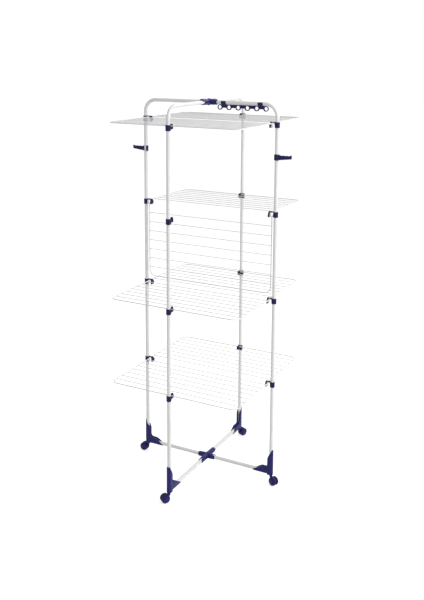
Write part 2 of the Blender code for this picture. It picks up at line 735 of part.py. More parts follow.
def hood_mesh():
    """A castor's hood about its swivel axis: stem, neck and the plate between the wheels, trailing to +X."""
    plate = bar(
        (CASTOR_TRAIL, -HOOD_HALF_WIDTH, AXLE_Z),
        (CASTOR_TRAIL, HOOD_HALF_WIDTH, AXLE_Z),
        HOOD_RADIUS,
        HOOD_SIDES,
    )
    arm_top = FOOT_BOTTOM_Z - HOOD_ARM_DROP
    arm = prism(
        [
            (-HOOD_ARM_HALF_LENGTH, arm_top - HOOD_ARM_HEIGHT),
            (HOOD_ARM_HEEL, AXLE_Z),
            (HOOD_ARM_SHOULDER, arm_top - HOOD_ARM_SHOULDER_DROP),
            (STEM_NECK_RADIUS, arm_top),
            (-HOOD_ARM_HALF_LENGTH, arm_top),
        ],
        "Y",
        -HOOD_ARM_HALF_WIDTH,
        HOOD_ARM_HALF_WIDTH,
    )
    neck_top = FOOT_BOTTOM_Z - CLEARANCE
    neck_bottom = FOOT_BOTTOM_Z - STEM_NECK_HEIGHT
    stem = lathe(
        [
            (0.0, neck_bottom),
            (STEM_NECK_RADIUS - STEM_EDGE, neck_bottom),
            (STEM_NECK_RADIUS, neck_bottom + STEM_EDGE),
            (STEM_NECK_RADIUS, neck_top),
            (STEM_RADIUS, neck_top),
            (STEM_RADIUS, STEM_TOP_Z - STEM_EDGE),
            (STEM_RADIUS - STEM_EDGE, STEM_TOP_Z),
            (0.0, STEM_TOP_Z),
        ],
        STEM_SIDES,
    )
    axle_bore = bar(
        (CASTOR_TRAIL, -WHEEL_HALF_WIDTH, AXLE_Z),
        (CASTOR_TRAIL, WHEEL_HALF_WIDTH, AXLE_Z),
        AXLE_RADIUS + CLEARANCE,
        STEM_SIDES,
    )
    return combine("castor_hood", plate, adds=[arm, stem], cuts=[axle_bore])


def wheel_mesh():
    """A pair of domed castor wheels on their axle, about the axle's middle, which lies along Y.

    A flat of the tread faces down, and AXLE_Z sets it on the floor.
    """
    half = [
        (AXLE_RADIUS, WHEEL_INNER_FACE),
        (WHEEL_RADIUS - WHEEL_EDGE, WHEEL_INNER_FACE),
        (WHEEL_RADIUS, WHEEL_INNER_FACE + WHEEL_EDGE),
        (WHEEL_RADIUS, WHEEL_TREAD_HALF_WIDTH),
        (WHEEL_SHOULDER_RADIUS, WHEEL_SHOULDER_HALF_WIDTH),
        (WHEEL_DOME_RADIUS, WHEEL_DOME_HALF_WIDTH),
        (0.0, WHEEL_HALF_WIDTH),
    ]
    other = [(radius, -height) for radius, height in reversed(half)]
    return lathe(other + half, WHEEL_SIDES, axis="Y")


def build_castors():
    """A swivelling hood and a twin wheel under each foot, trailing outwards and turned by their yaws."""
    hood = dress(hood_mesh(), make_material("castor_hood", (0.040, 0.034, 0.170), 0.36))
    wheel = dress(wheel_mesh(), make_material("castor_wheel", (0.040, 0.036, 0.175), 0.45))
    for side, turn in TURNS.items():
        swivel = bpy.data.objects.new(f"castor_swivel_{side}", None)
        bpy.context.scene.collection.objects.link(swivel)
        swivel.location = on_leg(side, 0)
        swivel.rotation_euler = (0, 0, math.radians(turn + CASTOR_YAWS[side]))
        place(f"castor_hood_{side}", hood, parent=swivel)
        place(f"castor_wheel_{side}", wheel, (CASTOR_TRAIL, 0, AXLE_Z), parent=swivel)


def hanger_bar_mesh():
    """The bar of rings under the top tube, about the tube's axis, with its two snap clips open at the top."""
    thick = BAR_HALF_THICKNESS
    ring_xs = [BAR_FIRST_RING_X + BAR_RING_PITCH * index for index in range(BAR_RING_COUNT)]
    strip = box(
        (ring_xs[0], -thick + CLEARANCE, -BAR_STRIP_BOTTOM_DROP),
        (ring_xs[-1], thick - CLEARANCE, -BAR_STRIP_TOP_DROP),
    )
    rings = [
        bar((x, -thick, -BAR_RING_DROP), (x, thick, -BAR_RING_DROP), BAR_RING_RADIUS, BAR_RING_SIDES)
        for x in ring_xs
    ]
    holes = [
        bar((x, -2 * thick, -BAR_RING_DROP), (x, 2 * thick, -BAR_RING_DROP), BAR_HOLE_RADIUS, BAR_HOLE_SIDES)
        for x in ring_xs
    ]
    scallops = []
    for x in (ring_x + BAR_RING_PITCH / 2 for ring_x in ring_xs[:-1]):
        start = (x, -2 * thick, -BAR_SCALLOP_DROP)
        end = (x, 2 * thick, -BAR_SCALLOP_DROP)
        scallops.append(bar(start, end, BAR_SCALLOP_RADIUS, BAR_HOLE_SIDES))
    far = 2 * CLIP_RADIUS
    clips = []
    clip_cuts = []
    for x in (ring_xs[0] + BAR_CLIP_INSETS[0], ring_xs[-1] - BAR_CLIP_INSETS[1]):
        low = x - BAR_CLIP_WIDTH / 2
        high = x + BAR_CLIP_WIDTH / 2
        cut_low = low - thick
        cut_high = high + thick
        clips.append(bar((low, 0, 0), (high, 0, 0), CLIP_RADIUS, TUBE_SIDES))
        clips.append(box((low, -thick, -BAR_STRIP_TOP_DROP - BAR_CLIP_LAP), (high, thick, -TUBE_RADIUS)))
        clip_cuts.append(bar((cut_low, 0, 0), (cut_high, 0, 0), TURNING_BORE_RADIUS, TUBE_SIDES))
        clip_cuts.append(box((cut_low, -far, BAR_CLIP_TOP), (cut_high, far, far)))
    return combine("hanger_bar", strip, adds=[*rings, *clips], cuts=[*holes, *scallops, *clip_cuts])


def hanger_arm_mesh():
    """A side arm about its leg's axis, reaching to +X, with notches for hangers along its top."""
    clip = lathe(
        [
            (0.0, -ARM_CLIP_HALF_HEIGHT),
            (CLIP_RADIUS, -ARM_CLIP_HALF_HEIGHT),
            (CLIP_RADIUS, ARM_CLIP_HALF_HEIGHT),
            (0.0, ARM_CLIP_HALF_HEIGHT),
        ],
        TUBE_SIDES,
    )
    first = CLIP_RADIUS + ARM_TIP_LENGTH
    pitch = (ARM_REACH - ARM_TIP_LENGTH - first) / ARM_NOTCH_COUNT
    top = []
    for index in range(ARM_NOTCH_COUNT):
        start = first + pitch * index
        end = start + pitch - ARM_NOTCH_SLOPE
        top.append((start, ARM_TOP))
        top.append((start + ARM_NOTCH_SLOPE, ARM_TOP - ARM_NOTCH_DEPTH))
        top.append((end - ARM_NOTCH_SLOPE, ARM_TOP - ARM_NOTCH_DEPTH))
        top.append((end, ARM_TOP))
    outline = [
        (TURNING_BORE_RADIUS + CLEARANCE, -ARM_ROOT_BOTTOM),
        (TURNING_BORE_RADIUS + CLEARANCE, ARM_TOP),
        *top,
        (ARM_REACH - ARM_TIP_LENGTH, ARM_TOP + ARM_TIP_RISE),
        (ARM_REACH, ARM_TOP + ARM_TIP_RISE),
        (ARM_REACH, -ARM_TIP_BOTTOM),
    ]
    arm = prism(outline, "Y", -ARM_HALF_THICKNESS, ARM_HALF_THICKNESS)
    far = 2 * ARM_CLIP_HALF_HEIGHT
    mouth = box((-ARM_CLIP_MOUTH_HALF, ARM_CLIP_MOUTH_DEPTH, -far), (ARM_CLIP_MOUTH_HALF, far, far))
    return combine("hanger_arm", clip, adds=[arm], cuts=[leg_bore(TURNING_BORE_RADIUS), mouth])


def build_hangers():
    """The hanger bar under the right top tube, and an arm on each side leg."""
    bar_shape = dress(hanger_bar_mesh(), make_material("hanger_bar", (0.038, 0.034, 0.180), 0.38))
    place("hanger_bar", bar_shape, (0, 0, TOP_Z))
    arm_shape = dress(hanger_arm_mesh(), make_material("hanger_arm", (0.040, 0.036, 0.180), 0.40))
    for side in ("left", "right"):
        place(f"hanger_arm_{side}", arm_shape, on_leg(side, ARM_Z), TURNS[side])


clear_scene()
build_tubes()
build_connectors()
build_brackets()
build_racks()
build_feet()
build_castors()
build_hangers()
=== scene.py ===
"""Looks of the tower clothes airer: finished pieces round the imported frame, a studio floor and a camera."""

import json
import math

import bmesh
import bpy
from mathutils import Matrix, Vector


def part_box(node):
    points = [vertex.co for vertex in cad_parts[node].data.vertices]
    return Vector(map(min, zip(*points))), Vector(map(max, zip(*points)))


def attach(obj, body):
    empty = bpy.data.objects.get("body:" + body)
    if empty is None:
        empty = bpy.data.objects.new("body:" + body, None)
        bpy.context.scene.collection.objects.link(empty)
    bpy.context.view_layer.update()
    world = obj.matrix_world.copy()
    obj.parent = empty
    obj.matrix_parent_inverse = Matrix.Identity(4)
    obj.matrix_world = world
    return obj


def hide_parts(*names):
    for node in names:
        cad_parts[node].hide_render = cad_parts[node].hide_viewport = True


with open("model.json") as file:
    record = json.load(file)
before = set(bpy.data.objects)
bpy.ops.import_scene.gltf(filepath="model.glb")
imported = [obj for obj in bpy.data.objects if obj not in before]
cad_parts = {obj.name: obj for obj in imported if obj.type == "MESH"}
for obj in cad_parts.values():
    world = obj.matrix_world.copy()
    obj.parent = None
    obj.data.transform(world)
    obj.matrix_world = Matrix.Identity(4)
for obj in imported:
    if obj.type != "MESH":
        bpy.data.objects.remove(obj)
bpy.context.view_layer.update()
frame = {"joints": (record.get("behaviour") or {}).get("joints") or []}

# Places that the frame gives
PLACES = {joint["name"]: Vector(joint["pos_m"]) for joint in frame["joints"]}
HINGE_DROP = 0.0085
LEG_X = PLACES["hanger_arm_right_turn"].x
LEG_Y = -PLACES["castor_front_swivel"].y
TOP_Z = PLACES["hanger_bar_swing"].z
ARM_Z = PLACES["hanger_arm_right_turn"].z
AXLE_Z = PLACES["castor_front_roll"].z
HINGE_OFFSET = PLACES["rack_1_front_fold"].y
LEVELS = [PLACES[f"rack_{number}_front_fold"].z + HINGE_DROP for number in range(1, 5)]
LEG_BOTTOM_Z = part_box("leg_right")[0].z
BASE_LOW, BASE_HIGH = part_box("base_tube_right")
BASE_Z = (BASE_LOW.z + BASE_HIGH.z) / 2
CROSS_INNER_END = BASE_LOW.x
BASE_TUBE_OUTER_GAP = LEG_X - BASE_HIGH.x
TURNS = {"right": 0.0, "back": 90.0, "left": 180.0, "front": 270.0}
REACHES = {"right": LEG_X, "back": LEG_Y, "left": LEG_X, "front": LEG_Y}
HANGING_RACK = (2, "front")

# Tubes
TUBE_RADIUS = 0.009
TUBE_SIDES = 40
TUBE_EDGE = 0.0004
CORNER_RADIUS = 0.060
CORNER_STEPS = 28
BORE_RADIUS = TUBE_RADIUS + 0.0002
FINISH_GAP = 0.0002
CUTTER_SIDES = 48
PIN_SIDES = 24

# Racks, about their hinge axis
WIRE_RADIUS = 0.0025
WIRE_SIDES = 16
WIRE_EDGE = 0.0005
LINE_RADIUS = 0.00175
LINE_SIDES = 12
LINE_COUNT = 7
LINE_MARGIN = 0.048
RACK_SIDE_INSET = 0.0195
RACK_SHIFT = 0.0027
RACK_RIGHT = LEG_X - RACK_SIDE_INSET + RACK_SHIFT
RACK_LEFT = -LEG_X + RACK_SIDE_INSET + RACK_SHIFT
RACK_RISE = 0.0165
HOOK_WIRE_INSET = 0.0165
RACK_OUTER = HOOK_WIRE_INSET - LEG_Y - HINGE_OFFSET
LINE_PITCH = (-RACK_OUTER - LINE_MARGIN) / LINE_COUNT
RACK_CORNER = 0.035
RACK_CORNER_STEPS = 16
RACK_BEND = 0.004
RACK_BEND_STEPS = 8
EAR_PIN_INSET = 0.006
EAR_PIN_END = LEG_X - EAR_PIN_INSET
BLOCK_PIN_INSET = 0.0355
BLOCK_PIN_END = BLOCK_PIN_INSET - LEG_X
WELD_RADII = (0.0033, 0.0026, 0.0027)
WELD_INSET = 0.0016
WELD_SEGMENTS = (12, 8)

# Brackets, about their leg's axis at their level
COLLAR_RADIUS = 0.0125
COLLAR_HALF = 0.0135
COLLAR_WAIST = 0.0004
COLLAR_EDGE = 0.0022
COLLAR_RIM_SHARE = 0.6
COLLAR_WAIST_SHARE = 0.45
REACH = 0.034
PLATE_START = 0.0265
ROOT = -TUBE_RADIUS
BRIDGE_HALF = 0.004
BRIDGE_BOTTOM = 0.0110
BRIDGE_TOP = 0.0140
BRIDGE_ROOT_FLARE = 1.4
BLOCK_TOP = 0.0145
BLOCK_HALF = 0.0170
BLOCK_FREE_HALF = 0.008
BLOCK_EDGE = 0.001
BLOCK_ROUNDING = 0.0035
PIN_BORE = 0.0027
EAR_THICKNESS = 0.008
EAR_WALL = 0.0026
EAR_BORE_END = 0.0057
EAR_ROUNDING = 0.002
BORES_MEET = 0.025
HOOK_ARM_HALF = 0.0055
HOOK_ARM_BOTTOM = 0.007
HOOK_ARM_TOP = 0.0052
HOOK_ROOT_FLARE = 1.3
HOOK_PLATE_HALF = 0.0068
HOOK_PLATE_BOTTOM = 0.0078
HOOK_PLATE_SHOULDER = 0.008
HOOK_PLATE_TOP = 0.0168
HOOK_TIP_HALF = 0.0034
HOOK_ROUNDING = 0.003

# Feet, with heights above the base tube's axis
FOOT_RADIUS = 0.0122
FOOT_BOTTOM_DROP = 0.013
FOOT_BOTTOM_Z = BASE_Z - FOOT_BOTTOM_DROP
FOOT_LEG_REACH = 0.0165
FOOT_SHOULDER_RISE = 0.070
FOOT_KNEE_REACH = 0.011
FOOT_KNEE_RISE = 0.086
FOOT_TIP_RISE = 0.119
FOOT_TIP_WIDTH = 0.0035
FOOT_SLEEVE_RISE = 0.024
FOOT_TOP_REACH = 0.050
FOOT_LIP_REACH = 0.093
FOOT_LIP_DROP = 0.002
FOOT_EDGE = 0.003
FOOT_FILLET = 0.016
FOOT_SLOT_HALF = 0.00325
FOOT_SLOT_FILLET = 0.014
FOOT_BEND = 0.012
FOOT_ROUND_STEPS = 24
FOOT_FILLET_STEPS = 12
FOOT_BEND_STEPS = 8

# Castors, with the wheel's outline as (radius, distance from its middle) and the hood arm's as (x, z)
WHEEL_HALF = 0.0193
WHEEL_OUTLINE = [
    (0.003, 0.0043),
    (0.0204, 0.0043),
    (0.0212, 0.0052),
    (0.0212, 0.0080),
    (0.0207, 0.0084),
    (0.0207, 0.0092),
    (0.0212, 0.0096),
    (0.0212, 0.0128),
    (0.0187, 0.0160),
    (0.0164, 0.0173),
    (0.0152, 0.0160),
    (0.0136, 0.0160),
    (0.0126, 0.0182),
    (0.0075, 0.0190),
    (0.0068, 0.0184),
    (0.0060, 0.0190),
    (0.0, WHEEL_HALF),
]
WHEEL_ROUNDING = 0.0006
WHEEL_SIDES = 56
AXLE_RADIUS = 0.0032
HOOD_RADIUS = 0.0188
HOOD_HALF = 0.0038
HOOD_ARM_HALF = 0.0036
HOOD_ARM_OUTLINE = [
    (-0.0055, 0.0325),
    (0.0099, AXLE_Z),
    (0.0198, 0.0385),
    (0.0065, 0.0440),
    (-0.0055, 0.0440),
]
STEM_RADIUS = 0.004
STEM_BORE = 0.0043
STEM_NECK_RADIUS = 0.0065
STEM_NECK_HEIGHT = 0.0065
STEM_NECK_GAP = 0.0003
STEM_NECK_BOTTOM = FOOT_BOTTOM_Z - STEM_NECK_HEIGHT
STEM_NECK_TOP = FOOT_BOTTOM_Z - STEM_NECK_GAP
STEM_TOP_RISE = 0.002
STEM_TOP = BASE_Z + STEM_TOP_RISE
STEM_ROUNDING = 0.0007
STEM_SIDES = 32

# Cross connectors, with the rivet head's outline as (radius, height)
CROSS_SIDE_REACH = 0.047
CROSS_FRONT_REACH = 0.073
CROSS_END_RADIUS = 0.0125
CROSS_MIDDLE_RADIUS = 0.0140
CROSS_SOLID_HALF = 0.016
CROSS_NOTCH_DEPTH = 0.014
CROSS_NOTCH_LEFT = 0.0045
CROSS_NOTCH_RIGHT = 0.0096
CROSS_HOLE = 0.0032
CROSS_ROUNDING = 0.003
RIVET_HEAD = [(0.0, 0.0172), (0.0045, 0.0166), (0.0075, 0.0150), (0.0075, 0.0142), (0.003, 0.0142)]
RIVET_ROUNDING = 0.0006
RIVET_SIDES = 40

# Hanger bar and arms
RING_COUNT = 6
RING_FIRST_X = 0.0605
RING_PITCH = 0.0484
RING_XS = [RING_FIRST_X + RING_PITCH * index for index in range(RING_COUNT)]
RING_DROP = 0.0225
RING_RADIUS = 0.0128
RING_END_TURN = 170
RING_STEPS = 12
HOLE_RADIUS = 0.0087
HOLE_STEPS = 40
BAR_TOP_DROP = 0.0096
BAR_EDGE_DROP = 0.0258
BAR_EDGE_BLEND = 0.016
BAR_EDGE_STEP = 0.0009
BAR_HALF = 0.0030
BAR_SOFT_EDGE = 0.0011
CLIP_OUTER = 0.0126
CLIP_INNER = TUBE_RADIUS + 0.0003
CLIP_LENGTH = 0.0245
CLIP_STEPS = 40
CLIP_MOUTH_DEGREES = 53.0
CLIP_STEM_TOP = -0.0105
CLIP_STEM_BOTTOM = -0.0185
FIRST_CLIP_OFFSET = 0.0225
LAST_CLIP_OFFSET = -0.0270
ARM_CLIP_LENGTH = 0.0276
ARM_MOUTH_DEGREES = 34.0
ARM_HALF = 0.0035
ARM_SOFT_EDGE = 0.0009
ARM_START = 0.0098
ARM_FIRST_NOTCH = 0.0176
ARM_REACH = 0.075
ARM_TIP_LENGTH = 0.005
ARM_NOTCHES = 3
ARM_TOP = 0.011
ARM_NOTCH_DEPTH = 0.0018
ARM_NOTCH_SLOPE = 0.002
ARM_TIP_TOP = 0.013
ARM_TIP_BOTTOM = -0.005
ARM_ROOT_BOTTOM = -0.013
ARM_ROUNDING = 0.0014

# Moulding: how finely and how often a solid is rounded, and about how many faces stay
FINE_VOXEL = 0.0006
FOOT_VOXEL = 0.0008
HOOD_VOXEL = 0.0005
BRACKET_ROUNDS = 4
MOULDING_ROUNDS = 3
SMALL_FACES = 5000
BRACKET_FACES = 7000
FOOT_FACES = 9000

# Outlines: how much of a side a corner may take, and how close points are merged
CORNER_SHARE = 0.48
MERGE_DISTANCE = 0.000005


# Shapes

def finish_mesh(bm, name):
    """Turn a bmesh into a mesh with its faces pointing out."""
    bmesh.ops.recalc_face_normals(bm, faces=bm.faces)
    mesh = bpy.data.meshes.new(name)
    bm.to_mesh(mesh)
    bm.free()
    return mesh


def ring_of(bm, centre, across, up, radius, sides):
    """One ring of points round a centre."""
    ring = []
    for index in range(sides):
        angle = 2 * math.pi * (index + 0.5) / sides
        ring.append(bm.verts.new(centre + radius * (math.cos(angle) * across + math.sin(angle) * up)))
    return ring


def bridge_rings(bm, first, second):
    """A band of faces between two rings of equal count."""
    count = len(first)
    for index in range(count):
        following = (index + 1) % count
        bm.faces.new((first[index], first[following], second[following], second[index]))


def rounded_path(corners, arcs):
    """Points along straight runs whose inner corners are arcs, each given as its radius and its steps."""
    points = [Vector(corners[0])]
    for index in range(1, len(corners) - 1):
        before, corner, after = (Vector(corners[index + step]) for step in (-1, 0, 1))
        incoming = (corner - before).normalized()
        outgoing = (after - corner).normalized()
        turn = incoming.angle(outgoing)
        radius, steps = arcs[index - 1]
        cut = radius * math.tan(turn / 2)
        start = corner - incoming * cut
        centre = start + (outgoing - incoming.dot(outgoing) * incoming).normalized() * radius
        spoke = start - centre
        axis = incoming.cross(outgoing).normalized()
        for step in range(steps + 1):
            points.append(centre + Matrix.Rotation(turn * step / steps, 3, axis) @ spoke)
    points.append(Vector(corners[-1]))
    return points


def sweep_into(bm, points, radius, sides, end_edge=0.0):
    """A round bar along the points, its end edges rounded off by end_edge."""
    points = [Vector(point) for point in points]
    radii = [radius] * len(points)
    if end_edge:
        first_way = (points[1] - points[0]).normalized()
        last_way = (points[-1] - points[-2]).normalized()
        near_start = points[0] + first_way * end_edge
        near_end = points[-1] - last_way * end_edge
        points = [points[0], near_start, *points[1:-1], near_end, points[-1]]
        radii = [radius - end_edge, radius, *radii[1:-1], radius, radius - end_edge]
    tangents = []
    for index in range(len(points)):
        before = points[max(index - 1, 0)]
        after = points[min(index + 1, len(points) - 1)]
        tangents.append((after - before).normalized())
    helper = Vector((0, 0, 1)) if abs(tangents[0].z) < 0.9 else Vector((0, 1, 0))
    across = tangents[0].cross(helper).normalized()
    rings = []
    for index, point in enumerate(points):
        if index:
            across = tangents[index - 1].rotation_difference(tangents[index]) @ across
        up = tangents[index].cross(across).normalized()
        rings.append(ring_of(bm, point, across, up, radii[index], sides))
    for first, second in zip(rings, rings[1:]):
        bridge_rings(bm, first, second)
    bm.faces.new(rings[0])
    bm.faces.new(rings[-1])


def sweep(points, radius, sides, name="sweep", end_edge=0.0):
    bm = bmesh.new()
    sweep_into(bm, points, radius, sides, end_edge)
    return finish_mesh(bm, name)


def bar(start, end, radius, sides=CUTTER_SIDES):
    """A straight round bar between two points."""
    return sweep([start, end], radius, sides, "bar")


def softened(points, radius, steps=4, closed=False):
    """The same 2-D line with its corners rounded off."""
    count = len(points)
    made = []
    for index, corner in enumerate(points):
        if not closed and index in (0, count - 1):
            made.append(corner)
            continue
        corner = Vector(corner)
        before = Vector(points[(index - 1) % count])
        after = Vector(points[(index + 1) % count])
        cut_in = min(radius, (before - corner).length * CORNER_SHARE)
        cut_out = min(radius, (after - corner).length * CORNER_SHARE)
        start = corner + (before - corner).normalized() * cut_in
        end = corner + (after - corner).normalized() * cut_out
        for step in range(steps + 1):
            share = step / steps
            point = start * (1 - share) ** 2 + corner * 2 * share * (1 - share) + end * share ** 2
            made.append((point.x, point.y))
    return made


def lathe(profile, sides=CUTTER_SIDES, axis="Z", name="lathe"):
    """Turn a profile of (radius, height) points about an axis."""
    bm = bmesh.new()
    across = Vector((1, 0, 0))
    up = Vector((0, 1, 0))
    rings = []
    for radius, height in profile:
        if radius == 0.0:
            rings.append([bm.verts.new((0, 0, height))])
        else:
            rings.append(ring_of(bm, Vector((0, 0, height)), across, up, radius, sides))
    pairs = list(zip(rings, rings[1:]))
    if len(rings[0]) > 1 and len(rings[-1]) > 1:
        pairs.append((rings[-1], rings[0]))
    for first, second in pairs:
        if len(first) == 1 or len(second) == 1:
            point, ring = (first[0], second) if len(first) == 1 else (second[0], first)
            for index in range(sides):
                bm.faces.new((point, ring[index], ring[(index + 1) % sides]))
        else:
            bridge_rings(bm, first, second)
    if axis == "X":
        bmesh.ops.rotate(bm, verts=bm.verts, matrix=Matrix.Rotation(math.radians(90), 3, "Y"))
    if axis == "Y":
        bmesh.ops.rotate(bm, verts=bm.verts, matrix=Matrix.Rotation(math.radians(-90), 3, "X"))
    return finish_mesh(bm, name)


def prism(outline, normal_axis, low, high):
    """An outline carried along one axis, its points (y, z) across X, (x, z) across Y or (x, y) across Z."""
    bm = bmesh.new()
    places = {
        "X": lambda first, second, along: (along, first, second),
        "Y": lambda first, second, along: (first, along, second),
        "Z": lambda first, second, along: (first, second, along),
    }
    spot = places[normal_axis]
    near = [bm.verts.new(spot(first, second, low)) for first, second in outline]
    far = [bm.verts.new(spot(first, second, high)) for first, second in outline]
    bridge_rings(bm, near, far)
    bm.faces.new(near)
    bm.faces.new(far)
    return finish_mesh(bm, "prism")


def box(low, high):
    outline = [(low[0], low[1]), (high[0], low[1]), (high[0], high[1]), (low[0], high[1])]
    return prism(outline, "Z", low[2], high[2])


def moved(mesh, offset=(0, 0, 0), turn=0.0, axis="Z"):
    mesh.transform(Matrix.Translation(Vector(offset)) @ Matrix.Rotation(math.radians(turn), 4, axis))
    return mesh


def joined(meshes):
    """Several meshes in one."""
    bm = bmesh.new()
    for mesh in meshes:
        bm.from_mesh(mesh)
    return finish_mesh(bm, "joined")


def evaluated(obj):
    """The mesh that an object's modifiers make; the object goes."""
    bpy.context.view_layer.update()
    depsgraph = bpy.context.evaluated_depsgraph_get()
    mesh = bpy.data.meshes.new_from_object(obj.evaluated_get(depsgraph))
    bpy.data.objects.remove(obj, do_unlink=True)
    return mesh


def combine(base, adds=(), cuts=()):
    """The base mesh with some meshes joined on and then others taken off."""
    start = bpy.data.objects.new("base", base)
    bpy.context.scene.collection.objects.link(start)
    helpers = []
    for operation, tools in (("UNION", adds), ("DIFFERENCE", cuts)):
        for tool in tools:
            helper = bpy.data.objects.new("tool", tool)
            bpy.context.scene.collection.objects.link(helper)
            helper.hide_render = True
            helpers.append(helper)
            modifier = start.modifiers.new(operation.lower(), "BOOLEAN")
            modifier.operation = operation
            modifier.solver = "EXACT"
            modifier.object = helper
    mesh = evaluated(start)
    for helper in helpers:
        bpy.data.objects.remove(helper, do_unlink=True)
    return mesh


def moulded(solid, voxel, rounds, faces, bores=()):
    """A solid with its edges and inner corners rounded as a moulding's are, and its bores cut crisply."""
    obj = bpy.data.objects.new("moulded", solid)
    bpy.context.scene.collection.objects.link(obj)
    remesh = obj.modifiers.new("remesh", "REMESH")
    remesh.mode = "VOXEL"
    remesh.voxel_size = voxel
    remesh.adaptivity = 0.0
    smooth = obj.modifiers.new("smooth", "SMOOTH")
    smooth.factor = 0.5
    smooth.iterations = rounds
    dense = evaluated(obj)
    count = sum(len(face.vertices) - 2 for face in dense.polygons)
    obj = bpy.data.objects.new("moulded", dense)
    bpy.context.scene.collection.objects.link(obj)
    if count > faces:
        thin = obj.modifiers.new("thin", "DECIMATE")
        thin.ratio = faces / count
    mesh = evaluated(obj)
    return combine(mesh, cuts=bores) if bores else mesh


def dress(mesh, material, sharp_degrees=40.0):
    """Give a mesh its material, and smooth shading with crisp edges."""
    mesh.materials.clear()
    mesh.materials.append(material)
    mesh.shade_smooth()
    mesh.set_sharp_from_angle(angle=math.radians(sharp_degrees))
    return mesh


def put(name, mesh, matrix, body, slot, *replaced):
    """A piece that shows the mesh at its place, rides on a body and stands for CAD nodes."""
    obj = bpy.data.objects.new(name, mesh)
    bpy.context.scene.collection.objects.link(obj)
    obj.matrix_world = matrix
    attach(obj, body)
    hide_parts(*replaced)
    return obj


def turned(degrees, location=(0, 0, 0)):
    return Matrix.Translation(Vector(location)) @ Matrix.Rotation(math.radians(degrees), 4, "Z")


def on_leg(side, height):
    """The point on a leg's axis at a height."""
    angle = math.radians(TURNS[side])
    return (REACHES[side] * math.cos(angle), REACHES[side] * math.sin(angle), height)


# Materials

def new_material(name):
    material = bpy.data.materials.new(name)
    material.use_nodes = True
    nodes = material.node_tree.nodes
    links = material.node_tree.links
    return material, nodes, links, nodes["Principled BSDF"]


def noise(nodes, links, coords, scale, detail=3.0, roughness=0.5):
    node = nodes.new("ShaderNodeTexNoise")
    node.inputs["Scale"].default_value = scale
    node.inputs["Detail"].default_value = detail
    node.inputs["Roughness"].default_value = roughness
    links.new(coords, node.inputs["Vector"])
    return node.outputs["Fac"]


def ramp(nodes, links, value, low, high, low_out, high_out):
    node = nodes.new("ShaderNodeMapRange")
    node.inputs["From Min"].default_value = low
    node.inputs["From Max"].default_value = high
    node.inputs["To Min"].default_value = low_out
    node.inputs["To Max"].default_value = high_out
    links.new(value, node.inputs["Value"])
    return node.outputs["Result"]


def mix_color(nodes, links, factor, first, second):
    node = nodes.new("ShaderNodeMix")
    node.data_type = "RGBA"
    links.new(factor, node.inputs["Factor"])
    for key, color in (("A", first), ("B", second)):
        socket = [s for s in node.inputs if s.name == key and s.type == "RGBA"][0]
        if isinstance(color, bpy.types.NodeSocket):
            links.new(color, socket)
        else:
            socket.default_value = (*color, 1.0)
    return [s for s in node.outputs if s.type == "RGBA"][0]


def bump(nodes, links, height, strength, distance, normal=None):
    node = nodes.new("ShaderNodeBump")
    node.inputs["Strength"].default_value = strength
    node.inputs["Distance"].default_value = distance
    links.new(height, node.inputs["Height"])
    if normal:
        links.new(normal, node.inputs["Normal"])
    return node.outputs["Normal"]


def scaled(color, share):
    return tuple(value * share for value in color)


def powder_coat(name, color, roughness):
    """White powder coat: fine orange peel, uneven gloss, and faint scuffs."""
    material, nodes, links, shader = new_material(name)
    coords = nodes.new("ShaderNodeTexCoord").outputs["Object"]
    patches = noise(nodes, links, coords, 9.0, 4.0, 0.6)
    scuffs = noise(nodes, links, coords, 70.0, 6.0, 0.7)
    peel = noise(nodes, links, coords, 900.0, 2.0, 0.5)
    waves = noise(nodes, links, coords, 180.0, 2.0, 0.5)
    warm = (color[0] * 0.90, color[1] * 0.89, color[2] * 0.86)
    shaded = ramp(nodes, links, patches, 0.35, 0.65, 0.0, 1.0)
    base = mix_color(nodes, links, shaded, color, scaled(color, 0.965))
    worn = ramp(nodes, links, scuffs, 0.66, 0.74, 0.0, 0.6)
    links.new(mix_color(nodes, links, worn, base, warm), shader.inputs["Base Color"])
    gloss = ramp(nodes, links, scuffs, 0.3, 0.75, roughness - 0.05, roughness + 0.12)
    links.new(gloss, shader.inputs["Roughness"])
    wide = bump(nodes, links, waves, 0.10, 0.0004)
    links.new(bump(nodes, links, peel, 0.16, 0.0001, wide), shader.inputs["Normal"])
    return material


def distance_from_y_axis(nodes, links, coords):
    flat = nodes.new("ShaderNodeVectorMath")
    flat.operation = "MULTIPLY"
    flat.inputs[1].default_value = (1.0, 0.0, 1.0)
    links.new(coords, flat.inputs[0])
    length = nodes.new("ShaderNodeVectorMath")
    length.operation = "LENGTH"
    links.new(flat.outputs["Vector"], length.inputs[0])
    return length.outputs["Value"]


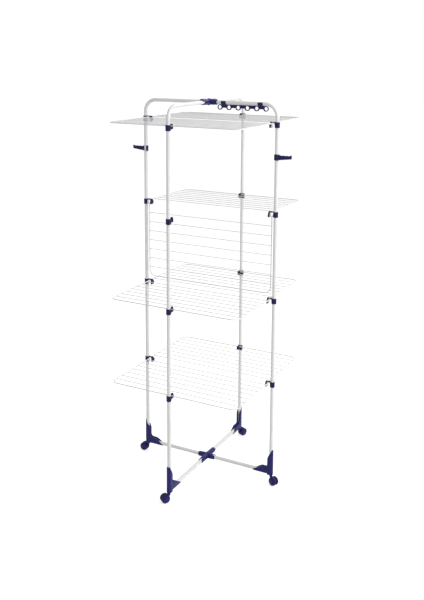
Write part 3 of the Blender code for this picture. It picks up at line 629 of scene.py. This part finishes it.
def moulded_plastic(name, color, roughness, rim=None):
    """Satin moulded plastic: fine grain, flow marks, and a paler rub along the edges.

    With a rim, as two radii about the piece's Y axis, it darkens from the first to the second: painted shade
    over the outer part, with the middle left paler as a painted highlight.
    """
    material, nodes, links, shader = new_material(name)
    shader.inputs["Specular IOR Level"].default_value = 0.17
    coords = nodes.new("ShaderNodeTexCoord").outputs["Object"]
    flow = noise(nodes, links, coords, 45.0, 3.0, 0.55)
    grain = noise(nodes, links, coords, 1600.0, 2.0, 0.6)
    dust = noise(nodes, links, coords, 320.0, 5.0, 0.65)
    rubbed = tuple(value * 0.7 + 0.07 for value in color)
    shaded = ramp(nodes, links, flow, 0.35, 0.65, 0.0, 1.0)
    base = mix_color(nodes, links, shaded, color, scaled(color, 0.80))
    # Painted shade: darker from the first radius to the second about the Y axis, so the middle stays paler.
    if rim:
        painted_shade_outwards = ramp(nodes, links, distance_from_y_axis(nodes, links, coords), *rim, 0.0, 1.0)
        base = mix_color(nodes, links, painted_shade_outwards, base, scaled(color, 0.35))
    edges = nodes.new("ShaderNodeNewGeometry").outputs["Pointiness"]
    edge = ramp(nodes, links, edges, 0.53, 0.62, 0.0, 0.35)
    speck = ramp(nodes, links, dust, 0.45, 0.70, 0.2, 1.0)
    both = nodes.new("ShaderNodeMath")
    both.operation = "MULTIPLY"
    links.new(edge, both.inputs[0])
    links.new(speck, both.inputs[1])
    links.new(mix_color(nodes, links, both.outputs[0], base, rubbed), shader.inputs["Base Color"])
    gloss = ramp(nodes, links, dust, 0.3, 0.7, roughness - 0.05, roughness + 0.10)
    links.new(gloss, shader.inputs["Roughness"])
    wide = bump(nodes, links, flow, 0.10, 0.0006)
    links.new(bump(nodes, links, grain, 0.22, 0.00008, wide), shader.inputs["Normal"])
    return material


WHITE = (0.86, 0.86, 0.855)
NAVY = (0.023, 0.022, 0.155)
DULL_NAVY = (0.019, 0.017, 0.096)
LEG_PAINT = powder_coat("leg_paint", WHITE, 0.34)
BASE_PAINT = powder_coat("base_paint", scaled(WHITE, 0.99), 0.34)
WIRE_PAINT = powder_coat("wire_paint", scaled(WHITE, 1.01), 0.30)
FOOT_PLASTIC = moulded_plastic("foot_plastic", NAVY, 0.40)
CROSS_PLASTIC = moulded_plastic("cross_plastic", scaled(NAVY, 1.04), 0.38)
RIVET_PLASTIC = moulded_plastic("rivet_plastic", scaled(NAVY, 1.10), 0.32)
HINGE_PLASTIC = moulded_plastic("hinge_plastic", scaled(DULL_NAVY, 0.86), 0.42)
HOOK_PLASTIC = moulded_plastic("hook_plastic", scaled(DULL_NAVY, 0.82), 0.42)
HOOD_PLASTIC = moulded_plastic("hood_plastic", scaled(NAVY, 0.94), 0.36)
# The wheels carry painted shade, darkening from 13 mm out to 19.5 mm about their axle.
WHEEL_PLASTIC = moulded_plastic("wheel_plastic", scaled(NAVY, 1.15), 0.46, (0.0130, 0.0195))
BAR_PLASTIC = moulded_plastic("bar_plastic", scaled(DULL_NAVY, 1.05), 0.38)
ARM_PLASTIC = moulded_plastic("arm_plastic", scaled(DULL_NAVY, 1.02), 0.40)


# Tubes

def build_tubes():
    for side, reach in REACHES.items():
        path = rounded_path(
            [(reach, 0, LEG_BOTTOM_Z), (reach, 0, TOP_Z), (CROSS_INNER_END, 0, TOP_Z)],
            [(CORNER_RADIUS, CORNER_STEPS)],
        )
        leg = dress(sweep(path, TUBE_RADIUS, TUBE_SIDES, "leg_tube", TUBE_EDGE), LEG_PAINT)
        put(f"leg_tube_{side}", leg, turned(TURNS[side]), "frame", "leg_tube", f"leg_{side}")
        ends = [(CROSS_INNER_END, 0, BASE_Z), (reach - BASE_TUBE_OUTER_GAP, 0, BASE_Z)]
        base = dress(sweep(ends, TUBE_RADIUS, TUBE_SIDES, "base_rail", TUBE_EDGE), BASE_PAINT)
        put(f"base_rail_{side}", base, turned(TURNS[side]), "frame", "base_tube", f"base_tube_{side}")


# Racks

def rack_shape():
    """The rack about its hinge axis, reaching towards -Y: frame wire, lines and weld beads."""
    bm = bmesh.new()
    corners = [
        (EAR_PIN_END, 0, 0),
        (RACK_RIGHT, 0, 0),
        (RACK_RIGHT, 0, RACK_RISE),
        (RACK_RIGHT, RACK_OUTER, RACK_RISE),
        (RACK_LEFT, RACK_OUTER, RACK_RISE),
        (RACK_LEFT, 0, RACK_RISE),
        (RACK_LEFT, 0, 0),
        (BLOCK_PIN_END, 0, 0),
    ]
    bends = [(RACK_BEND, RACK_BEND_STEPS)] * 2
    path = rounded_path(corners, bends + [(RACK_CORNER, RACK_CORNER_STEPS)] * 2 + bends)
    sweep_into(bm, path, WIRE_RADIUS, WIRE_SIDES, WIRE_EDGE)
    for number in range(1, LINE_COUNT + 1):
        y = RACK_OUTER + LINE_PITCH * number
        sweep_into(bm, [(RACK_LEFT, y, RACK_RISE), (RACK_RIGHT, y, RACK_RISE)], LINE_RADIUS, LINE_SIDES)
        for x in (RACK_LEFT + WELD_INSET, RACK_RIGHT - WELD_INSET):
            spot = Matrix.Translation((x, y, RACK_RISE)) @ Matrix.Diagonal((*WELD_RADII, 1.0))
            around, along = WELD_SEGMENTS
            bmesh.ops.create_uvsphere(bm, u_segments=around, v_segments=along, radius=1.0, matrix=spot)
    return finish_mesh(bm, "wire_rack")


def build_racks():
    shape = dress(rack_shape(), WIRE_PAINT)
    for number in range(1, len(LEVELS) + 1):
        for side, turn in (("front", 0.0), ("back", 180.0)):
            tilt = 90.0 if (number, side) == HANGING_RACK else 0.0
            name = f"rack_{number}_{side}"
            matrix = turned(turn, PLACES[f"{name}_fold"]) @ Matrix.Rotation(math.radians(tilt), 4, "X")
            put(f"wire_{name}", shape, matrix, name, "rack_wire", name)


# Brackets

def collar():
    """A barrel with rounded rims and a shallow waist."""
    profile = [
        (0.0, -COLLAR_HALF),
        (COLLAR_RADIUS - FINISH_GAP, -COLLAR_HALF),
        (COLLAR_RADIUS, -COLLAR_HALF * COLLAR_RIM_SHARE),
        (COLLAR_RADIUS - COLLAR_WAIST, -COLLAR_HALF * COLLAR_WAIST_SHARE),
        (COLLAR_RADIUS - COLLAR_WAIST, COLLAR_HALF * COLLAR_WAIST_SHARE),
        (COLLAR_RADIUS, COLLAR_HALF * COLLAR_RIM_SHARE),
        (COLLAR_RADIUS - FINISH_GAP, COLLAR_HALF),
        (0.0, COLLAR_HALF),
    ]
    return lathe(softened(profile, COLLAR_EDGE))


def tube_bore():
    return bar((0, 0, -2 * COLLAR_HALF), (0, 0, 2 * COLLAR_HALF), BORE_RADIUS)


def hinge_shape():
    """A hinge bracket: collar, block with one pin bore, ear with the other, and a bridge over the wires."""
    bridge_outline = [
        (-REACH + BLOCK_EDGE, -BRIDGE_HALF),
        (ROOT, -BRIDGE_HALF * BRIDGE_ROOT_FLARE),
        (ROOT, BRIDGE_HALF * BRIDGE_ROOT_FLARE),
        (-REACH + BLOCK_EDGE, BRIDGE_HALF),
    ]
    bridge = prism(bridge_outline, "Z", BRIDGE_BOTTOM, BRIDGE_TOP)
    block_outline = [
        (-BLOCK_HALF, -COLLAR_HALF),
        (BLOCK_FREE_HALF, -COLLAR_HALF),
        (BLOCK_FREE_HALF, 0.0),
        (BRIDGE_HALF + BLOCK_EDGE, BLOCK_TOP),
        (-BRIDGE_HALF - BLOCK_EDGE, BLOCK_TOP),
        (-BLOCK_HALF, 0.0),
    ]
    block = prism(softened(block_outline, BLOCK_ROUNDING, closed=True), "X", -REACH, -PLATE_START)
    ear_top = PIN_BORE + EAR_WALL - HINGE_DROP
    ear_outline = [
        (TUBE_RADIUS / 2, -COLLAR_HALF + BLOCK_EDGE),
        (HINGE_OFFSET + PIN_BORE, -COLLAR_HALF + BLOCK_EDGE),
        (BLOCK_HALF, -HINGE_DROP),
        (HINGE_OFFSET + PIN_BORE, ear_top),
        (TUBE_RADIUS / 2, ear_top),
    ]
    ear_outline = softened(ear_outline, EAR_ROUNDING, closed=True)
    ear = prism(ear_outline, "X", -COLLAR_RADIUS, EAR_THICKNESS - COLLAR_RADIUS)
    solid = combine(collar(), adds=[bridge, block, ear], cuts=[tube_bore()])
    bores = [tube_bore()]
    for start, end, y in (
        (-2 * REACH, -BORES_MEET, -HINGE_OFFSET),
        (-BORES_MEET, -EAR_BORE_END, HINGE_OFFSET),
    ):
        bores.append(bar((start, y, -HINGE_DROP), (end, y, -HINGE_DROP), PIN_BORE, PIN_SIDES))
    return moulded(solid, FINE_VOXEL, BRACKET_ROUNDS, BRACKET_FACES, bores)


def hook_shape():
    """A hook bracket: collar, arm under the rack's outer wire, and a plate with a raised tip behind it."""
    arm_outline = [
        (-REACH + BLOCK_EDGE, -HOOK_ARM_BOTTOM),
        (ROOT, -HOOK_ARM_BOTTOM * HOOK_ROOT_FLARE),
        (ROOT, HOOK_ARM_TOP),
        (-REACH + BLOCK_EDGE, HOOK_ARM_TOP),
    ]
    arm = prism(arm_outline, "Y", -HOOK_ARM_HALF, HOOK_ARM_HALF)
    plate_outline = [
        (-HOOK_PLATE_HALF, -HOOK_PLATE_BOTTOM),
        (HOOK_PLATE_HALF, -HOOK_PLATE_BOTTOM),
        (HOOK_PLATE_HALF, HOOK_PLATE_SHOULDER),
        (HOOK_TIP_HALF, HOOK_PLATE_TOP),
        (-HOOK_TIP_HALF, HOOK_PLATE_TOP),
        (-HOOK_PLATE_HALF, HOOK_PLATE_SHOULDER),
    ]
    plate = prism(softened(plate_outline, HOOK_ROUNDING, closed=True), "X", -REACH, -PLATE_START)
    solid = combine(collar(), adds=[arm, plate], cuts=[tube_bore()])
    return moulded(solid, FINE_VOXEL, BRACKET_ROUNDS, BRACKET_FACES, [tube_bore()])


def build_brackets():
    shapes = {"hinge": dress(hinge_shape(), HINGE_PLASTIC), "hook": dress(hook_shape(), HOOK_PLASTIC)}
    for number, height in enumerate(LEVELS, start=1):
        for side in TURNS:
            kind = "hinge" if side in ("left", "right") else "hook"
            name = f"{kind}_bracket_{number}_{side}"
            matrix = turned(TURNS[side], on_leg(side, height))
            put(f"moulded_{name}", shapes[kind], matrix, "frame", f"{kind}_bracket", name)


# Feet

def foot_section(reach):
    """A foot's section as (inwards, across) points: half round outside, with cheeks that reach inwards."""
    section = []
    for step in range(FOOT_ROUND_STEPS + 1):
        angle = math.radians(180.0 * step / FOOT_ROUND_STEPS)
        section.append((-FOOT_RADIUS * math.sin(angle), FOOT_RADIUS * math.cos(angle)))
    section.append((reach - FOOT_EDGE, -FOOT_RADIUS))
    section.append((reach, -FOOT_RADIUS + FOOT_EDGE))
    section.append((reach, FOOT_RADIUS - FOOT_EDGE))
    section.append((reach - FOOT_EDGE, FOOT_RADIUS))
    return section


def corner_arc(inwards, rise, fillet):
    """An arc in the foot's corner, from beside the leg down to above the base tube."""
    arc = []
    for step in range(FOOT_FILLET_STEPS + 1):
        angle = math.radians(90.0 * step / FOOT_FILLET_STEPS)
        along = -inwards - fillet * (1 - math.cos(angle))
        arc.append((along, BASE_Z + rise + fillet * (1 - math.sin(angle))))
    return arc


def foot_shape():
    """A foot about its leg's axis: two arms with cheeks, a filled corner, slanted tips and a slot inside."""
    far = 2 * FOOT_TIP_RISE
    wide = 2 * FOOT_RADIUS
    tip_z = BASE_Z + FOOT_TIP_RISE
    shoulder_z = BASE_Z + FOOT_SHOULDER_RISE
    tip_x = FOOT_RADIUS - FOOT_TIP_WIDTH
    leg_section = [(-inwards, across) for inwards, across in foot_section(FOOT_LEG_REACH)]
    leg_arm = prism(leg_section, "Z", FOOT_BOTTOM_Z, tip_z)
    sleeve_section = [(across, BASE_Z + rise) for rise, across in foot_section(FOOT_SLEEVE_RISE)]
    sleeve = prism(sleeve_section, "X", -FOOT_LIP_REACH, 0.0)
    web = prism(
        [
            (0.0, BASE_Z),
            (0.0, BASE_Z + FOOT_SLEEVE_RISE + FOOT_FILLET),
            *corner_arc(FOOT_LEG_REACH, FOOT_SLEEVE_RISE, FOOT_FILLET),
            (-FOOT_LEG_REACH - FOOT_FILLET, BASE_Z),
        ],
        "Y", FOOT_EDGE - FOOT_RADIUS, FOOT_RADIUS - FOOT_EDGE,
    )
    leg_line = softened([
        (-FOOT_LEG_REACH - FOOT_EDGE, shoulder_z - FOOT_BEND),
        (-FOOT_LEG_REACH, shoulder_z),
        (-FOOT_KNEE_REACH, BASE_Z + FOOT_KNEE_RISE),
        (tip_x, tip_z),
        (tip_x, tip_z + FOOT_RADIUS),
    ], FOOT_BEND, FOOT_BEND_STEPS)
    leg_cut_outline = [(-far, shoulder_z - FOOT_BEND), *leg_line, (-far, tip_z + FOOT_RADIUS)]
    leg_cut = prism(leg_cut_outline, "Y", -wide, wide)
    sleeve_line = softened([
        (FOOT_BEND - FOOT_TOP_REACH, BASE_Z + FOOT_SLEEVE_RISE + BLOCK_EDGE),
        (-FOOT_TOP_REACH, BASE_Z + FOOT_SLEEVE_RISE),
        (-FOOT_LIP_REACH, BASE_Z - FOOT_LIP_DROP),
    ], FOOT_BEND, FOOT_BEND_STEPS)
    sleeve_end = [(-far, BASE_Z - FOOT_LIP_DROP), (-far, tip_z), (FOOT_BEND - FOOT_TOP_REACH, tip_z)]
    sleeve_cut = prism([*sleeve_line, *sleeve_end], "Y", -wide, wide)
    seat = TUBE_RADIUS - BLOCK_EDGE
    slot = prism(
        [
            (-seat, tip_z + FOOT_RADIUS),
            *corner_arc(seat, seat, FOOT_SLOT_FILLET),
            (-far, BASE_Z + seat),
            (-far, tip_z + FOOT_RADIUS),
        ],
        "Y", -FOOT_SLOT_HALF, FOOT_SLOT_HALF,
    )
    base_bore_start = FINISH_GAP - BASE_TUBE_OUTER_GAP
    bores = [
        bar((0, 0, LEG_BOTTOM_Z - FINISH_GAP), (0, 0, BASE_Z + far), BORE_RADIUS),
        bar((base_bore_start, 0, BASE_Z), (-far, 0, BASE_Z), BORE_RADIUS),
        bar((0, 0, 0), (0, 0, STEM_TOP + FINISH_GAP), STEM_BORE, PIN_SIDES),
    ]
    copies = [mesh.copy() for mesh in bores]
    solid = combine(leg_arm, adds=[sleeve, web], cuts=[leg_cut, sleeve_cut, slot, *copies])
    return moulded(solid, FOOT_VOXEL, MOULDING_ROUNDS, FOOT_FACES, bores)


def build_feet():
    shape = dress(foot_shape(), FOOT_PLASTIC)
    for side in TURNS:
        matrix = turned(TURNS[side], on_leg(side, 0))
        put(f"moulded_foot_{side}", shape, matrix, "frame", "foot", f"foot_{side}")


# Castors

def hood_shape(trail):
    """A castor's hood about its swivel axis: stem, neck, and the round plate between the wheels."""
    plate = bar((trail, -HOOD_HALF, AXLE_Z), (trail, HOOD_HALF, AXLE_Z), HOOD_RADIUS)
    arm = prism(HOOD_ARM_OUTLINE, "Y", -HOOD_ARM_HALF, HOOD_ARM_HALF)
    stem = lathe(softened([
        (0.0, STEM_NECK_BOTTOM),
        (STEM_NECK_RADIUS, STEM_NECK_BOTTOM),
        (STEM_NECK_RADIUS, STEM_NECK_TOP),
        (STEM_RADIUS, STEM_NECK_TOP),
        (STEM_RADIUS, STEM_TOP),
        (0.0, STEM_TOP),
    ], STEM_ROUNDING), STEM_SIDES)
    axle = bar((trail, -WHEEL_HALF, AXLE_Z), (trail, WHEEL_HALF, AXLE_Z), AXLE_RADIUS, STEM_SIDES)
    solid = combine(plate, adds=[arm, stem], cuts=[axle.copy()])
    return moulded(solid, HOOD_VOXEL, MOULDING_ROUNDS, SMALL_FACES, [axle])


def wheel_shape():
    """A pair of domed wheels about their axle: grooved treads, and a stepped cap on each face."""
    half = softened(WHEEL_OUTLINE, WHEEL_ROUNDING, 3)
    other = [(radius, -height) for radius, height in reversed(half)]
    return lathe(other + half, WHEEL_SIDES, axis="Y", name="twin_wheel")


def build_castors():
    """A hood and a twin wheel at each foot, trailing from its swivel axis to the frame's axle."""
    axle_at = PLACES["castor_front_roll"] - PLACES["castor_front_swivel"]
    trail = axle_at.xy.length
    hood = dress(hood_shape(trail), HOOD_PLASTIC)
    wheel = dress(wheel_shape(), WHEEL_PLASTIC)
    for side in TURNS:
        way = PLACES[f"castor_{side}_roll"] - PLACES[f"castor_{side}_swivel"]
        swivel = turned(math.degrees(math.atan2(way.y, way.x)), on_leg(side, 0))
        name = f"castor_hood_{side}"
        put(f"moulded_{name}", hood, swivel, name, "castor_hood", name)
        name = f"castor_wheel_{side}"
        axle = swivel @ Matrix.Translation((trail, 0, AXLE_Z))
        put(f"moulded_{name}", wheel, axle, name, "castor_wheel", name)


# Cross connectors

def cross_shape(reach, upper, notch_axis):
    """One lapped half of a cross connector, its sleeves along X and its notched end at +X."""
    profile = [
        (0.0, -reach),
        (CROSS_END_RADIUS, -reach),
        (CROSS_MIDDLE_RADIUS, -CROSS_SOLID_HALF),
        (CROSS_MIDDLE_RADIUS, CROSS_SOLID_HALF),
        (CROSS_END_RADIUS, reach),
        (0.0, reach),
    ]
    sleeve = lathe(softened(profile, CROSS_ROUNDING), axis="X")
    far = 2 * CROSS_MIDDLE_RADIUS
    lap = CROSS_MIDDLE_RADIUS + FINISH_GAP
    beyond = reach + CROSS_END_RADIUS
    low, high = (-far, FINISH_GAP) if upper else (-FINISH_GAP, far)
    notch = [
        (reach - CROSS_NOTCH_DEPTH, -CROSS_NOTCH_LEFT),
        (beyond, -CROSS_NOTCH_RIGHT),
        (beyond, CROSS_NOTCH_RIGHT),
        (reach - CROSS_NOTCH_DEPTH, CROSS_NOTCH_LEFT),
    ]
    cuts = [box((-lap, -far, low), (lap, far, high)), prism(notch, notch_axis, -far, far)]
    bores = [
        bar((sign * CROSS_SOLID_HALF, 0, 0), (sign * beyond, 0, 0), BORE_RADIUS)
        for sign in (-1, 1)
    ]
    hole = bar((0, 0, -far), (0, 0, far), CROSS_HOLE, PIN_SIDES)
    copies = [mesh.copy() for mesh in bores]
    solid = combine(sleeve, cuts=[*cuts, *copies, hole.copy()])
    return moulded(solid, FINE_VOXEL, MOULDING_ROUNDS, SMALL_FACES, [*bores, hole])


def rivet_shape():
    """The rivet through a cross connector, with a domed head at each end."""
    upper = softened(RIVET_HEAD, RIVET_ROUNDING, 3)
    lower = [(radius, -height) for radius, height in reversed(upper)]
    return lathe(upper + lower, RIVET_SIDES, name="rivet")


def build_connectors():
    rivet = dress(rivet_shape(), RIVET_PLASTIC)
    side = CROSS_SIDE_REACH
    front = CROSS_FRONT_REACH
    for end, height, notch_axis, halves in (
        ("top", TOP_Z, "Y", {"upper": (side, 180.0), "lower": (front, 270.0)}),
        ("base", BASE_Z, "Z", {"upper": (front, 270.0), "lower": (side, 0.0)}),
    ):
        for half, (reach, turn) in halves.items():
            shape = dress(cross_shape(reach, half == "upper", notch_axis), CROSS_PLASTIC)
            name = f"{end}_connector_{half}"
            put(f"moulded_{name}", shape, turned(turn, (0, 0, height)), "frame", "cross_connector", name)
        name = f"{end}_connector_rivet"
        put(f"moulded_{name}", rivet, turned(0, (0, 0, height)), "frame", "rivet", name)


# Hanger bar and arms

def flat_plate(outlines, half_thickness, edge):
    """A soft-edged plate in the XZ plane from closed outlines, the first its edge and the others holes."""
    curve = bpy.data.curves.new("plate", "CURVE")
    curve.dimensions = "2D"
    curve.fill_mode = "BOTH"
    curve.extrude = half_thickness - edge
    curve.bevel_depth = edge
    curve.bevel_resolution = 3
    curve.offset = -edge
    for points in outlines:
        spline = curve.splines.new("POLY")
        spline.points.add(len(points) - 1)
        for point, (x, z) in zip(spline.points, points):
            point.co = (x, z, 0, 1)
        spline.use_cyclic_u = True
    obj = bpy.data.objects.new("plate", curve)
    bpy.context.scene.collection.objects.link(obj)
    mesh = evaluated(obj)
    bm = bmesh.new()
    bm.from_mesh(mesh)
    bmesh.ops.remove_doubles(bm, verts=bm.verts, dist=MERGE_DISTANCE)
    bmesh.ops.rotate(bm, verts=bm.verts, matrix=Matrix.Rotation(math.radians(90), 3, "X"))
    return finish_mesh(bm, "plate")


def arc_points(x, z, radius, start, turn, count):
    """Points along an arc, without its last one, from a start angle through a turn in degrees."""
    angles = [math.radians(start + turn * index / count) for index in range(count)]
    return [(x + radius * math.cos(angle), z + radius * math.sin(angle)) for angle in angles]


def smooth_min(first, second, width):
    share = max(width - abs(first - second), 0.0) / width
    return min(first, second) - share * share * width * 0.25


def bar_bottom(x):
    """Height of the hanger bar's lower edge: a strip that swells into each ring."""
    edge = -BAR_EDGE_DROP
    for ring_x in RING_XS:
        across = abs(x - ring_x)
        if across < RING_RADIUS:
            ring = -RING_DROP - math.sqrt(RING_RADIUS ** 2 - across ** 2)
            edge = smooth_min(edge, ring, BAR_EDGE_BLEND)
    return edge


def hanger_bar_shape():
    first = RING_XS[0]
    last = RING_XS[-1]
    steps = int((last - first) / BAR_EDGE_STEP)
    lower = [first + (last - first) * index / steps for index in range(1, steps)]
    outline = [
        *arc_points(first, -RING_DROP, RING_RADIUS, 270 - RING_END_TURN, RING_END_TURN, RING_STEPS),
        *[(x, bar_bottom(x)) for x in lower],
        *arc_points(last, -RING_DROP, RING_RADIUS, -90, RING_END_TURN, RING_STEPS),
        (last, -BAR_TOP_DROP),
        (first, -BAR_TOP_DROP),
    ]
    holes = [arc_points(x, -RING_DROP, HOLE_RADIUS, 0, -360, HOLE_STEPS) for x in RING_XS]
    return flat_plate([outline, *holes], BAR_HALF, BAR_SOFT_EDGE)


def clip_shape(length, mouth):
    """A C-shaped snap clip about an axis along X, open towards +Y by the mouth's half angle."""
    way_round = 360 - 2 * mouth
    outer = arc_points(0, 0, CLIP_OUTER, mouth, way_round, CLIP_STEPS)
    inner = arc_points(0, 0, CLIP_INNER, 360 - mouth, -way_round, CLIP_STEPS)
    return prism(outer + inner, "X", -length / 2, length / 2)


def arm_shape():
    """A side arm about its leg's axis: a snap clip, and a blade with notches along its top."""
    blade_end = ARM_REACH - ARM_TIP_LENGTH
    pitch = (blade_end - ARM_FIRST_NOTCH) / ARM_NOTCHES
    top = []
    for index in range(ARM_NOTCHES):
        low = ARM_FIRST_NOTCH + pitch * index
        high = low + pitch - ARM_NOTCH_SLOPE
        top.append((low, ARM_TOP))
        top.append((low + ARM_NOTCH_SLOPE, ARM_TOP - ARM_NOTCH_DEPTH))
        top.append((high - ARM_NOTCH_SLOPE, ARM_TOP - ARM_NOTCH_DEPTH))
        top.append((high, ARM_TOP))
    outline = [
        (ARM_START, ARM_ROOT_BOTTOM),
        (ARM_START, ARM_TOP),
        *top,
        (blade_end, ARM_TIP_TOP),
        (ARM_REACH, ARM_TIP_TOP),
        (ARM_REACH, ARM_TIP_BOTTOM),
    ]
    blade = flat_plate([softened(outline[::-1], ARM_ROUNDING, 3, closed=True)], ARM_HALF, ARM_SOFT_EDGE)
    clip = moved(clip_shape(ARM_CLIP_LENGTH, ARM_MOUTH_DEGREES), turn=-90, axis="Y")
    return joined([blade, moulded(clip, FINE_VOXEL, MOULDING_ROUNDS, SMALL_FACES)])


def build_hangers():
    clips = []
    for x in (RING_XS[0] + FIRST_CLIP_OFFSET, RING_XS[-1] + LAST_CLIP_OFFSET):
        clips.append(moved(clip_shape(CLIP_LENGTH, CLIP_MOUTH_DEGREES), (x, 0, 0), 90, "X"))
        low = (x - CLIP_LENGTH / 2, -BAR_HALF, CLIP_STEM_BOTTOM)
        clips.append(box(low, (x + CLIP_LENGTH / 2, BAR_HALF, CLIP_STEM_TOP)))
    clips = moulded(joined(clips), FINE_VOXEL, MOULDING_ROUNDS, SMALL_FACES)
    shape = dress(joined([hanger_bar_shape(), clips]), BAR_PLASTIC)
    put("ring_bar", shape, turned(0, (0, 0, TOP_Z)), "hanger_bar", "hanger_bar", "hanger_bar")
    arm = dress(arm_shape(), ARM_PLASTIC)
    for side in ("left", "right"):
        name = f"hanger_arm_{side}"
        put(f"moulded_{name}", arm, turned(TURNS[side], on_leg(side, ARM_Z)), name, "hanger_arm", name)


# Stage, light and camera

FLOOR_SIZE = 30.0
FLOOR_COLOR = (0.72, 0.72, 0.73)
FLOOR_LIFT = 0.62
WORLD_STRENGTH = 0.47
SEEN_RAYS = ("Is Camera Ray", "Is Glossy Ray", "Is Transmission Ray")

# Lamps, each with its place, its width and its power
LAMP_TARGET = (0, 0, 1.3)
LAMPS = {
    "key": ((4.2, 0.0, 3.4), 2.2, 128),
    "fill": ((1.6, -4.2, 3.6), 2.4, 18),
    "rim": ((-0.5, 4.0, 3.6), 2.4, 30),
}

# Camera, fitted to the photo
CAMERA_AZIMUTH = 27.946
CAMERA_DISTANCE = 3.976
CAMERA_HEIGHT = 2.145
CAMERA_PITCH = -9.729
CAMERA_ROLL = 0.297
CAMERA_LENS = 49.30
CAMERA_SHIFT = (0.00594, -0.185)


def any_of(nodes, links, names):
    """One where any of the named kinds of ray looks, and zero for the rest."""
    paths = nodes.new("ShaderNodeLightPath")
    seen = paths.outputs[names[0]]
    for name in names[1:]:
        either = nodes.new("ShaderNodeMath")
        either.operation = "MAXIMUM"
        links.new(seen, either.inputs[0])
        links.new(paths.outputs[name], either.inputs[1])
        seen = either.outputs[0]
    return seen


def build_stage():
    bm = bmesh.new()
    bmesh.ops.create_grid(bm, x_segments=1, y_segments=1, size=FLOOR_SIZE)
    floor = bpy.data.objects.new("floor", finish_mesh(bm, "floor"))
    bpy.context.scene.collection.objects.link(floor)
    material, nodes, links, shader = new_material("floor_white")
    shader.inputs["Base Color"].default_value = (*FLOOR_COLOR, 1.0)
    shader.inputs["Roughness"].default_value = 0.6
    seen = any_of(nodes, links, SEEN_RAYS)
    shader.inputs["Emission Color"].default_value = (1, 1, 1, 1)
    links.new(ramp(nodes, links, seen, 0.0, 1.0, 0.0, FLOOR_LIFT), shader.inputs["Emission Strength"])
    floor.data.materials.append(material)


def area_light(name, location, size, power):
    data = bpy.data.lights.new(name, "AREA")
    data.shape = "DISK"
    data.size = size
    data.energy = power
    lamp = bpy.data.objects.new(name, data)
    bpy.context.scene.collection.objects.link(lamp)
    lamp.location = location
    lamp.rotation_mode = "QUATERNION"
    lamp.rotation_quaternion = (Vector(LAMP_TARGET) - Vector(location)).to_track_quat("-Z", "Y")


def build_lights():
    world = bpy.data.worlds.new("studio")
    bpy.context.scene.world = world
    world.use_nodes = True
    nodes = world.node_tree.nodes
    links = world.node_tree.links
    background = nodes["Background"]
    seen = any_of(nodes, links, SEEN_RAYS)
    background.inputs["Color"].default_value = (1, 1, 1, 1)
    links.new(ramp(nodes, links, seen, 0.0, 1.0, WORLD_STRENGTH, 1.0), background.inputs["Strength"])
    for name, (location, size, power) in LAMPS.items():
        area_light(name, location, size, power)


def build_camera():
    azimuth = math.radians(CAMERA_AZIMUTH)
    pitch = math.radians(CAMERA_PITCH)
    roll = math.radians(CAMERA_ROLL)
    level = math.cos(pitch)
    forward = Vector((-math.sin(azimuth) * level, math.cos(azimuth) * level, math.sin(pitch)))
    side = forward.cross(Vector((0, 0, 1))).normalized()
    up = side.cross(forward)
    right = side * math.cos(roll) + up * math.sin(roll)
    top = up * math.cos(roll) - side * math.sin(roll)
    data = bpy.data.cameras.new("camera")
    data.sensor_width = 36.0
    data.sensor_fit = "AUTO"
    data.lens = CAMERA_LENS
    data.shift_x, data.shift_y = CAMERA_SHIFT
    data.clip_start = 0.05
    data.clip_end = 100.0
    camera = bpy.data.objects.new("camera", data)
    bpy.context.scene.collection.objects.link(camera)
    rotation = Matrix((right, top, -forward)).transposed().to_4x4()
    place = Vector((math.sin(azimuth) * CAMERA_DISTANCE, -math.cos(azimuth) * CAMERA_DISTANCE, CAMERA_HEIGHT))
    camera.matrix_world = Matrix.Translation(place) @ rotation
    bpy.context.scene.camera = camera


build_tubes()
build_racks()
build_brackets()
build_feet()
build_castors()
build_connectors()
build_hangers()
build_stage()
build_lights()
build_camera()
bpy.context.scene.view_settings.view_transform = "Standard"
